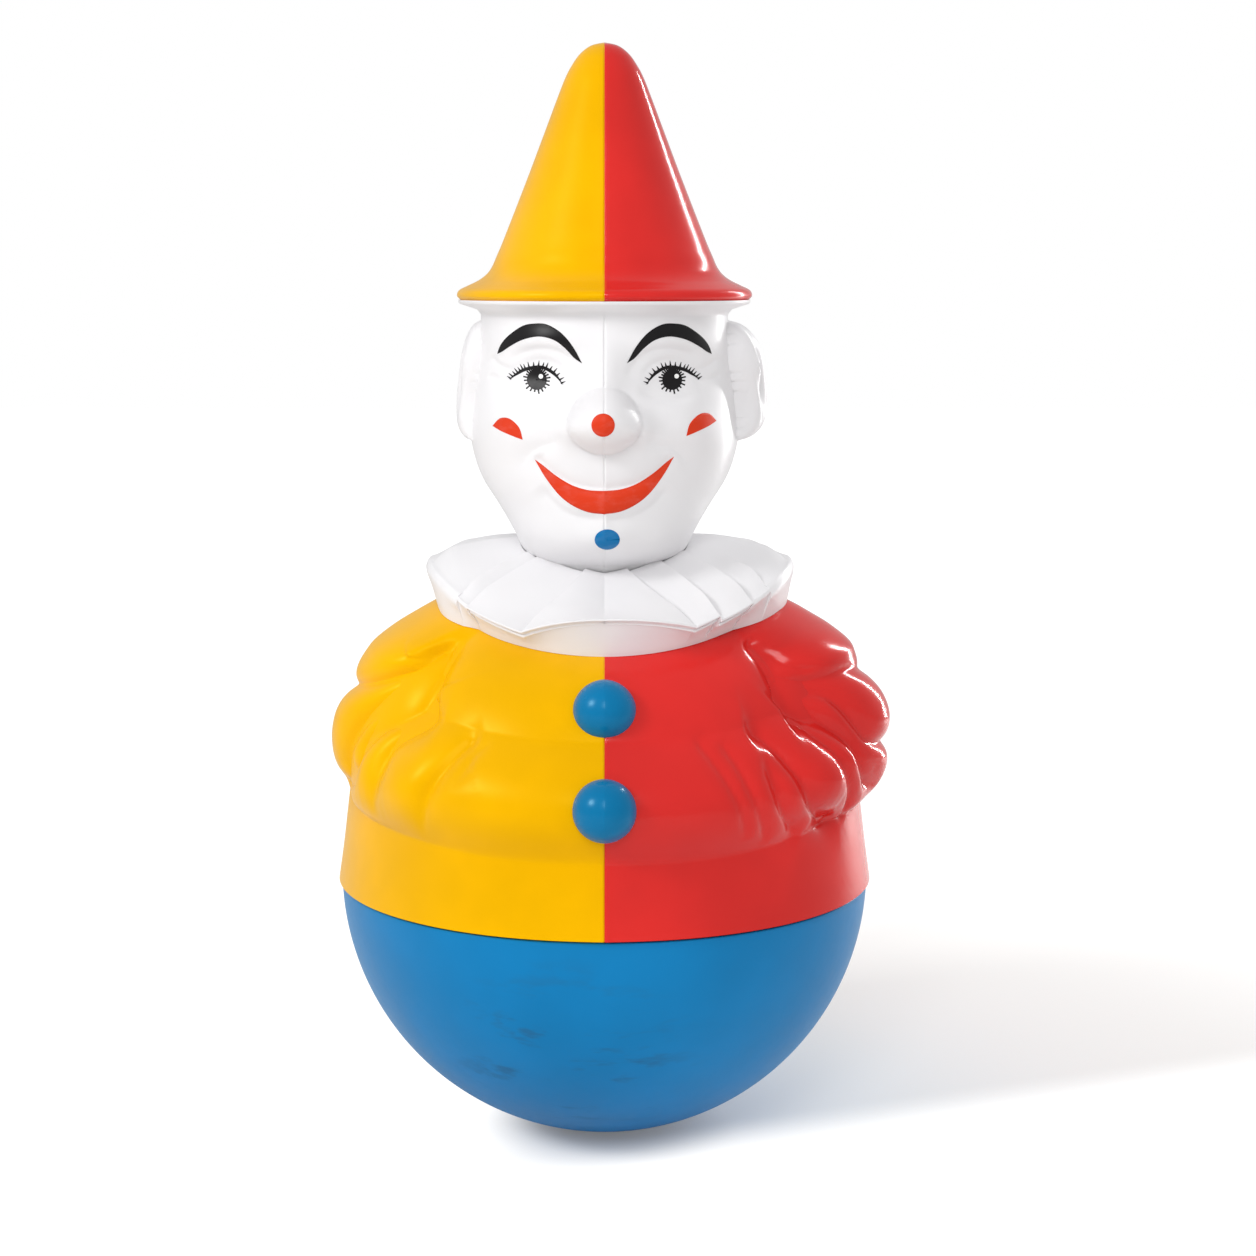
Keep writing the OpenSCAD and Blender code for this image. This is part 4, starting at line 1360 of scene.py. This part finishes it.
    def ring_rows(self, spots: Sequence[Point], turn: np.ndarray) -> Net:
        """Rows of rings of a radius and height each."""
        return np.stack([polar(np.full(turn.shape, r), turn, np.full(turn.shape, z))[0] for r, z in spots])

    def build(self) -> None:
        """Builds and dresses both halves."""
        turn = SEAM.turns(self.r, self.steps)
        w = np.linspace(0, self.FLARE, self.rows + 1)[:, None]
        foot_z, neck_z = self.jaw_z - self.neck_l, self.jaw_z - self.NECK_TOP * self.neck_l
        flare_r, flare_z = self.r * self.SIDE.points[-1][1], self.jaw_z + self.h * self.FLARE
        edge_z, seat_z = self.jaw_z + self.EDGE * self.h, self.hat_seat_z
        ring, ring_z = self.hat_ring_r, seat_z + self.hat_ring_h
        foot = [(self.neck_r, foot_z), (self.neck_r, neck_z)]
        rim = [
            *((flare_r + out, flare_z + up) for out, up in self.RIM_FOOT),
            (self.brim_r - self.rim_round, edge_z),
            (self.brim_r, edge_z + self.rim_round),
            (self.brim_r, seat_z),
            (ring, seat_z),
            (ring, ring_z),
        ]
        under_seat = [
            (flare_r - self.wall - self.flare_gap, edge_z - self.flare_fall),
            *((r, edge_z + up) for r, up in self.UNDER_SEAT),
            (ring - self.wall, edge_z + self.ring_lift),
            (ring - self.wall, ring_z),
        ]
        lining = polar(self.skull_r(w, turn) - self.wall, turn, self.jaw_z + self.h * w)
        foot_inside = [(r - self.wall, z) for r, z in foot]
        inner = np.concatenate([self.ring_rows(foot_inside, turn), lining, self.ring_rows(under_seat, turn)])
        for side in Side:
            skin = self.skin(w, turn, side)
            outer = np.concatenate([self.ring_rows(foot, turn), skin, self.ring_rows(rim, turn)])
            piece = shell(f"{side.word}_head_shell", outer, inner, side, self.sharp_deg)
            settle(piece, WHITE, [f"head_{side.word}_half"])


@dataclass
class FacePaint:
    """Painted brows, eyes, cheeks, nose, lips and chin: thin films on the skin."""

    head: Head
    film: float = 0.07
    sink: float = 0.12
    tilt: float = 0.045
    sharp_deg: float = 80.0
    edge_steps: int = 8
    band_rows: int = 9
    disc_points: int = 49
    disc_rings: int = 11
    stroke_points: int = 3
    tick_points: int = 4
    lash_points: int = 5

    # Edges of the films: distance from the seam and height above the jaw
    BROW_TOP = (
        (4.9, 45.6), (6.9, 49.2), (9.4, 52.1), (12.5, 53.9), (15.3, 54.1), (18.1, 53.5), (21.3, 51.3),
        (23.1, 49.2), (23.9, 47.2),
    )  # fmt: skip
    BROW_LOW = (
        (4.9, 45.6), (6.6, 46.7), (8.7, 48.9), (11.1, 50.6), (14.3, 51.3), (17.8, 50.6), (20.6, 49.2),
        (22.7, 47.8), (23.9, 47.2),
    )  # fmt: skip
    LIP_TOP = ((0.0, 17.9), (3.5, 18.2), (7.0, 19.3), (10.5, 21.4), (13.5, 23.8), (15.3, 25.1))
    LIP_LOW = ((0.0, 12.8), (3.5, 13.3), (7.0, 14.9), (10.0, 17.3), (13.0, 21.2), (15.3, 25.1))
    LASH_TOP = ((9.0, 40.8), (10.9, 43.5), (13.9, 44.9), (17.4, 44.4), (19.5, 43.2), (21.2, 41.7))
    LASH_LOW = ((9.0, 40.8), (11.2, 42.9), (13.9, 44.2), (17.2, 43.7), (19.3, 42.7), (21.2, 41.7))
    CHEEK_TOP = ((18.0, 29.6), (18.8, 32.3), (21.0, 34.2), (23.2, 34.2), (24.9, 32.5))
    CHEEK_LOW = ((18.0, 29.6), (19.7, 30.2), (21.5, 30.9), (23.2, 31.6), (24.9, 32.5))
    EYE_AT = (14.9, 41.8)
    PUPIL_R = 2.2
    GLINT_FROM_PUPIL = (0.95, 0.75)
    GLINT_R = 0.5
    GLINT_LIFT = 2.0
    # The iris: its radius, its rays, how far they start inside the pupil, their half width, how much shorter
    # each ray is than the one before in a cycle, the first ray's turn back and how far the rays crowd upwards
    IRIS_R = 3.1
    TICKS = 26
    TICK_ROOT = 0.2
    TICK_HALF_W = 0.16
    TICK_SHORTER = 0.2
    TICK_CYCLE = 3
    TICK_START = 0.25
    TICK_CROWD = 0.45
    # The lashes: how many, length, the shorter ones' share, half width, taper, root's depth, steps left free
    # at the ends of the lash line, and the point that they fan out from, seen from the eye's middle
    LASHES = 17
    LASH_L = 1.05
    LASH_SHORT = 0.8
    LASH_HALF_W = 0.21
    LASH_TAPER = 1.15
    LASH_ROOT = 0.3
    LASH_FREE = 4
    LASH_FAN = (0.3, -3.0)
    NOSE_SPOT = (-0.3, -0.3)
    NOSE_SPOT_R = 2.5
    CHIN_SPOT = (0.6, 7.0)
    CHIN_SPOT_HALF = (2.75, 2.4)

    def film_on(self, name: str, spots: Sequence[tuple[Net, Net]], finish: Paint, lift: float = 1.0) -> None:
        """Lays closed films over nets of places on the face, as one piece.

        Args:
            name: the piece's name.
            spots: for each film, distances from the seam and heights above the jaw.
            finish: its paint.
            lift: the film's height, in films.
        """
        points, faces, first = [], [], 0
        for x, up in spots:
            z = self.head.jaw_z + up
            top, under = (self.head.on_face(x, z, off) for off in (self.film * lift, -self.sink))
            film_points, film_faces = closed(top, under)
            points.append(film_points)
            faces.append(film_faces + first)
            first += len(film_points)
        piece = new_mesh(name, np.concatenate(points), np.concatenate(faces), self.sharp_deg)
        clean_up(piece)
        settle(piece, finish)

    def band(
        self,
        name: str,
        low: Sequence[Point],
        top: Sequence[Point],
        finish: Paint,
        tilt: float = 0.0,
    ) -> None:
        """Films between a lower and an upper edge, one on each side.

        Args:
            name: the films' name, which the side's word leads.
            low: the lower edge's points.
            top: the upper edge's points.
            finish: the paint.
            tilt: how far the right side's film sinks for each unit of distance from the seam.
        """
        low_line, top_line = (smooth_path(np.array(edge), self.edge_steps)[None] for edge in (low, top))
        net = mix(low_line, top_line, np.linspace(0, 1, self.band_rows)[:, None, None])
        x, up = net[..., 0], net[..., 1]
        self.film_on(f"left_{name}", [(x, up)], finish)
        self.film_on(f"right_{name}", [(-x[:, ::-1], (up - tilt * x)[:, ::-1])], finish)

    def disc(self, name: str, at: Point, half: Point, finish: Paint, lift: float = 1.0) -> None:
        """A round film: rings of points about its middle, from its edge inwards.

        Args:
            name: its name.
            at: its middle.
            half: its half width and half height.
            finish: the paint.
            lift: its height, in films.
        """
        turn = np.linspace(0, 2 * math.pi, self.disc_points)[None, :]
        ring = np.linspace(1, 0.0, self.disc_rings)[:, None]
        x = at[0] + half[0] * ring * np.cos(turn)
        up = at[1] + half[1] * ring * np.sin(turn)
        self.film_on(name, [(x, up)], finish, lift)

    def eye(self, side: Side) -> None:
        """One eye: a dark disc, fine ticks round it, a glint and a lash line.

        Args:
            side: the side that it is on.
        """
        at = (self.EYE_AT[0] * side.value, self.EYE_AT[1])
        glint = (at[0] + self.GLINT_FROM_PUPIL[0], at[1] + self.GLINT_FROM_PUPIL[1])
        self.disc(f"{side.word}_pupil", at, (self.PUPIL_R, self.PUPIL_R), FACE_BLACK)
        self.disc(f"{side.word}_glint", glint, (self.GLINT_R, self.GLINT_R), FACE_WHITE, self.GLINT_LIFT)
        self.film_on(f"{side.word}_iris", self.ticks(at), FACE_BLACK)
        self.film_on(f"{side.word}_lashes", self.lashes(side), FACE_BLACK)

    def ticks(self, at: Point) -> list[tuple[Net, Net]]:
        """The iris: fine rays round the pupil, closer together on its upper half.

        Args:
            at: the pupil's middle.

        Returns:
            Distances from the seam and heights for each ray.
        """
        spots = []
        angle = np.linspace(0, 2 * math.pi, self.TICKS, endpoint=False) - self.TICK_START
        across = np.linspace(-self.TICK_HALF_W, self.TICK_HALF_W, self.stroke_points)[:, None]
        for i, a in enumerate(angle + self.TICK_CROWD * np.cos(angle)):
            stop = self.IRIS_R - self.TICK_SHORTER * (i % self.TICK_CYCLE)
            along = np.linspace(self.PUPIL_R - self.TICK_ROOT, stop, self.tick_points)[None, :]
            x = at[0] + along * math.cos(a) - across * math.sin(a)
            spots.append((x, at[1] + along * math.sin(a) + across * math.cos(a)))
        return spots

    def lashes(self, side: Side) -> list[tuple[Net, Net]]:
        """Short tapered lashes that fan out from the lash line; every other one is shorter.

        Args:
            side: the side; the right one mirrors the left.

        Returns:
            Distances from the seam and heights for each lash.
        """
        spots = []
        line = smooth_path(np.array(self.LASH_TOP), self.LASHES)
        order = slice(None) if side is Side.LEFT else slice(None, None, -1)
        fan = np.add(self.EYE_AT, self.LASH_FAN)
        taper = (self.LASH_TAPER - np.linspace(0, 1, self.lash_points))[None, :]
        across = np.linspace(-self.LASH_HALF_W, self.LASH_HALF_W, self.stroke_points)[:, None] * taper
        roots = np.linspace(self.LASH_FREE, len(line) - 1 - self.LASH_FREE, self.LASHES).astype(int)
        for i, root in enumerate(line[roots]):
            out = (root - fan) / np.linalg.norm(root - fan)
            length = self.LASH_L * mix(self.LASH_SHORT, 1.0, i % 2)
            along = np.linspace(-self.LASH_ROOT, length, self.lash_points)[None, :]
            x = root[0] + along * out[0] - across * out[1]
            up = root[1] + along * out[1] + across * out[0]
            spots.append((side.value * x[:, order], up[:, order]))
        return spots

    def build(self) -> None:
        """Paints the whole face."""
        self.band("brow", self.BROW_LOW, self.BROW_TOP, FACE_BLACK)
        self.band("lash_line", self.LASH_LOW, self.LASH_TOP, FACE_BLACK)
        self.band("cheek_spot", self.CHEEK_LOW, self.CHEEK_TOP, FACE_RED, self.tilt)
        self.band("lip", self.LIP_LOW, self.LIP_TOP, FACE_RED, self.tilt)
        for side in (Side.LEFT, Side.RIGHT):
            self.eye(side)
        nose_at = (self.NOSE_SPOT[0], self.head.NOSE_AT * self.head.h + self.NOSE_SPOT[1])
        self.disc("nose_spot", nose_at, (self.NOSE_SPOT_R, self.NOSE_SPOT_R), FACE_RED)
        self.disc("chin_spot", self.CHIN_SPOT, self.CHIN_SPOT_HALF, FACE_BLUE)


@dataclass
class Hat:
    """The cone hat with its rolled brim, in a yellow and a red half."""

    seat_z: float
    h: float = 57.5
    brim_r: float = 33.7
    wall: float = 1.8
    ring_r: float = 24.3
    socket_share: float = 0.12
    seam_least_r: float = 0.5
    seam_full_r: float = 6.0
    sharp_deg: float = 60.0
    row_steps: int = 10
    steps: int = 150

    OUTLINE = (
        (0.976, 0), (1, 0.016), (0.985, 0.038), (0.925, 0.056), (0.855, 0.076), (0.8, 0.1), (0.762, 0.13),
        (0.728, 0.175), (0.68, 0.24), (0.52, 0.475), (0.418, 0.63), (0.32, 0.78), (0.268, 0.856),
        (0.225, 0.905), (0.165, 0.954), (0.09, 0.987), (0, 1),
    )  # fmt: skip

    def build(self) -> None:
        """Builds and dresses both halves."""
        outline = smooth_path(np.array(self.OUTLINE) * np.array([self.brim_r, self.h]), self.row_steps)
        run = np.gradient(outline, axis=0)
        run /= np.linalg.norm(run, axis=1)[:, None]
        inside = outline - self.wall * np.stack([run[:, 1], -run[:, 0]], axis=-1)
        low = inside[:, 1] < self.socket_share * self.h
        inside[:, 0] = np.where(low, self.ring_r, np.clip(inside[:, 0], 0, self.ring_r))
        inside[:, 1] = np.where(low, np.clip(outline[:, 1], 0, self.socket_share * self.h), inside[:, 1])
        inside[0] = (self.ring_r, 0)
        turn = SEAM.turns(self.brim_r, self.steps)
        r = outline[:, :1] + 0 * turn
        keel = SEAM.relief(np.maximum(r, self.seam_least_r), turn) * np.clip(r / self.seam_full_r, 0, 1)
        outer = polar(np.clip(r + keel, 0, None), turn, self.seat_z + outline[:, 1:])
        inner = polar(np.clip(inside[:, :1], 0, None) + 0 * turn, turn, self.seat_z + inside[:, 1:])
        for side, finish, slot in COLOURS:
            piece = shell(f"{side.word}_hat_shell", outer, inner, side, self.sharp_deg)
            clean_up(piece)
            settle(piece, finish, [f"hat_{side.word}_half"])


@dataclass
class Button:
    """A domed blue button on the chest, with the seam's soft ridge across it."""

    torso: Torso
    word: str
    share: float
    d: float = 13.5
    rise: float = 5.6
    seat: float = 0.8
    shank_d: float = 5.0
    shank_l: float = 4.0
    rim_share: float = 0.15
    ridge: float = 0.25
    ridge_w: float = 2.5
    ridge_from: float = 0.5
    cap_points: int = 40
    steps: int = 96

    # Where they sit, as shares of the chest's height
    SHARES = {"upper": 0.765, "lower": 0.455}

    def profile(self) -> np.ndarray:
        """Outline of the shank, the flat back, the rim and the dome, which is part of a ball.

        Returns:
            Points of radius and height, closed.
        """
        r = self.d / 2
        rim_h = self.rim_share * self.rise
        cap_h = self.rise + self.seat - rim_h
        ball_r = (r * r + cap_h * cap_h) / (2 * cap_h)
        a = np.linspace(math.asin(min(1.0, r / ball_r)), 0, self.cap_points)
        cap = np.stack([ball_r * np.sin(a), rim_h + cap_h - ball_r + ball_r * np.cos(a)], axis=-1)
        s = self.shank_d / 2
        return np.concatenate([[[0, -self.shank_l], [s, -self.shank_l], [s, 0], [r, 0], [r, rim_h]], cap])

    def build(self) -> None:
        """Builds and dresses the button, with its axis straight out of the chest."""
        spot, out = self.torso.front_point(self.share)
        side = np.array([1.0, 0.0, 0.0])
        up = np.cross(out, side)

        def place(points: np.ndarray) -> np.ndarray:
            """Carries the outline's frame onto the chest and raises the seam's ridge."""
            x, y, z = points.T
            z = z + np.where(z > self.ridge_from, self.ridge * np.exp(-np.abs(x) / self.ridge_w), 0)
            return spot + np.outer(x, side) + np.outer(y, up) + np.outer(z - self.seat, out)

        piece = turned(f"{self.word}_chest_button", self.profile(), self.steps, place)
        settle(piece, BUTTON_BLUE, [f"{self.word}_button"])


@dataclass
class ChimeUnit:
    """The weight and the chime inside, shown by their own CAD solids."""

    def build(self) -> None:
        """Dresses each inner node."""
        for name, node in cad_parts.items():
            if name.startswith("chime_rod"):
                WARDROBE.dress(node, DRAWN_ROD)
            elif name == "weight":
                WARDROBE.dress(node, CAST)
            elif name == "clapper_ball":
                WARDROBE.dress(node, NYLON)
            elif not name.endswith(("_half", "_button")) and name != "base_bowl":
                WARDROBE.dress(node, PLATED)
            else:
                continue
            LOG.info("%s: CAD node dressed", name)


@dataclass(frozen=True)
class Lamp:
    """A soft rectangular lamp.

    Args:
        name: its name.
        at: its place.
        size: its width and height.
        watts: its power.
    """

    name: str
    at: Place
    size: Point
    watts: float


@dataclass
class Studio:
    """The pale floor, the soft light and the camera at the photograph's angle."""

    photo_px: float = 1256.0
    focal_px: float = 2446.3
    sensor: float = 36.0
    camera_y: float = -565.0
    camera_z: float = 200.9
    pitch_deg: float = 8.336
    axis_off_px: float = 23.5
    floor_size: float = 6000.0
    sky_level: float = 0.6
    aim: Place = (0.0, 0.0, 120.0)
    view_m: float = 100.0

    WHITE_LIGHT = (1.0, 1.0, 1.0, 1.0)
    LAMPS = (
        Lamp("front", (-60.0, -900.0, 700.0), (360.0, 360.0), 3.0),
        Lamp("left", (-770.0, -465.0, 660.0), (240.0, 240.0), 3.75),
        Lamp("strip", (424.0, 396.0, 260.0), (10.0, 480.0), 1.8),
    )
    FLOOR = (0.88, 0.865, 0.85, 1.0)
    FLOOR_ROUGH = 0.9
    FLOOR_SPECULAR = 0.1
    GLOW = 1.2
    LEAST_GLOW = 0.12
    # Where the floor shows its shadow and doesn't glow, in metres from the foot: close to it, and in a wedge
    # on the right between a front and a back edge of a slope each
    FOOT = (0.0, -0.005, 0.0)
    CONTACT = (0.008, 0.034)
    WEDGE_START = (-0.04, 0.01)
    WEDGE_STOP = (0.16, 0.4)
    FRONT_SLOPE = 0.4
    FRONT_EDGE = (-0.04, -0.01)
    BACK_SLOPE = 1.4
    BACK_EDGE = (0.04, 0.14)

    def backdrop(self) -> None:
        """A wide white floor that keeps the shadow and fades into the white world."""
        half = self.floor_size / 2
        points = np.array([[-half, -half, 0], [half, -half, 0], [half, half, 0], [-half, half, 0]])
        floor = new_mesh("floor", points, np.array([[0, 1, 2, 3]]))
        r = Recipe("white_floor")
        r.set(Base_Color=self.FLOOR, Roughness=self.FLOOR_ROUGH, Specular_IOR_Level=self.FLOOR_SPECULAR)
        glow = r.node("ShaderNodeEmission", {}, {"Color": self.WHITE_LIGHT, "Strength": self.GLOW})
        spot = r.place(at=self.FOOT)
        away = r.length(spot)
        right, back = (r.node("ShaderNodeSeparateXYZ", {}, {0: spot}, axis) for axis in "XY")
        behind_front = (back - self.FRONT_SLOPE * right).ramp(*self.FRONT_EDGE)
        behind_back = (back - self.BACK_SLOPE * right).ramp(*self.BACK_EDGE)
        near = 1 - away.ramp(*self.WEDGE_STOP)
        wedge = right.ramp(*self.WEDGE_START) * behind_front * (1 - behind_back) * near
        glowing = self.LEAST_GLOW + (1 - self.LEAST_GLOW) * away.ramp(*self.CONTACT) * (1 - wedge)
        seen = r.node("ShaderNodeLightPath", out="Is Camera Ray")
        lit = Value(r, r.shader.outputs[0])
        both = r.node("ShaderNodeMixShader", {}, {0: glowing * seen, 1: lit, 2: glow})
        r.feed(r.output.inputs["Surface"], both)
        floor.data.materials.append(r.material)

    def world(self) -> None:
        """An even sky that the camera sees as white."""
        world = bpy.data.worlds.new("studio")
        bpy.context.scene.world = world
        world.use_nodes = True
        g = Graph(world.node_tree)
        seen = g.node("ShaderNodeLightPath", out="Is Camera Ray")
        cast, shown = (
            g.node("ShaderNodeBackground", {}, {"Color": self.WHITE_LIGHT, "Strength": level})
            for level in (self.sky_level, 1.0)
        )
        both = g.node("ShaderNodeMixShader", {}, {0: seen, 1: cast, 2: shown})
        g.feed(world.node_tree.nodes["World Output"].inputs["Surface"], both)

    def hang(self, lamp: Lamp) -> None:
        """Hangs a lamp and turns it to the toy's middle.

        Args:
            lamp: the lamp.
        """
        light = bpy.data.lights.new(lamp.name, "AREA")
        light.shape = "RECTANGLE"
        light.size, light.size_y = lamp.size[0] * MM, lamp.size[1] * MM
        light.energy = lamp.watts
        hung = bpy.data.objects.new(lamp.name, light)
        hung.location = np.array(lamp.at) * MM
        way = np.subtract(self.aim, lamp.at)
        flat = math.hypot(way[0], way[1])
        hung.rotation_euler = (math.atan2(flat, -way[2]), 0.0, math.atan2(-way[0], way[1]))
        bpy.context.scene.collection.objects.link(hung)

    def camera(self) -> None:
        """The camera, with the photograph's focal length and framing."""
        data = bpy.data.cameras.new("camera")
        data.sensor_width = self.sensor
        data.lens = self.focal_px / self.photo_px * self.sensor
        data.shift_x = self.axis_off_px / self.photo_px
        data.clip_end = self.view_m
        camera = bpy.data.objects.new("camera", data)
        camera.location = (0.0, self.camera_y * MM, self.camera_z * MM)
        camera.rotation_euler = (math.pi / 2 - math.radians(self.pitch_deg), 0.0, 0.0)
        bpy.context.scene.collection.objects.link(camera)
        bpy.context.scene.camera = camera

    def build(self) -> None:
        """Sets the stage."""
        self.backdrop()
        self.world()
        for lamp in self.LAMPS:
            self.hang(lamp)
        self.camera()
        bpy.context.scene.view_settings.view_transform = "Standard"


def main() -> None:
    """Builds the toy and its studio in order."""
    logging.basicConfig(level=logging.INFO, format="%(name)s %(message)s")
    base = RoundBase()
    torso = Torso(base)
    head = Head(jaw_z=base.rim_z + torso.h + Head.JAW_RISE)
    base.build()
    torso.build()
    Collar(torso, head).build()
    head.build()
    FacePaint(head).build()
    Hat(head.hat_seat_z).build()
    for word, share in Button.SHARES.items():
        Button(torso, word, share).build()
    ChimeUnit().build()
    Studio().build()


if __name__ == "__main__":
    main()
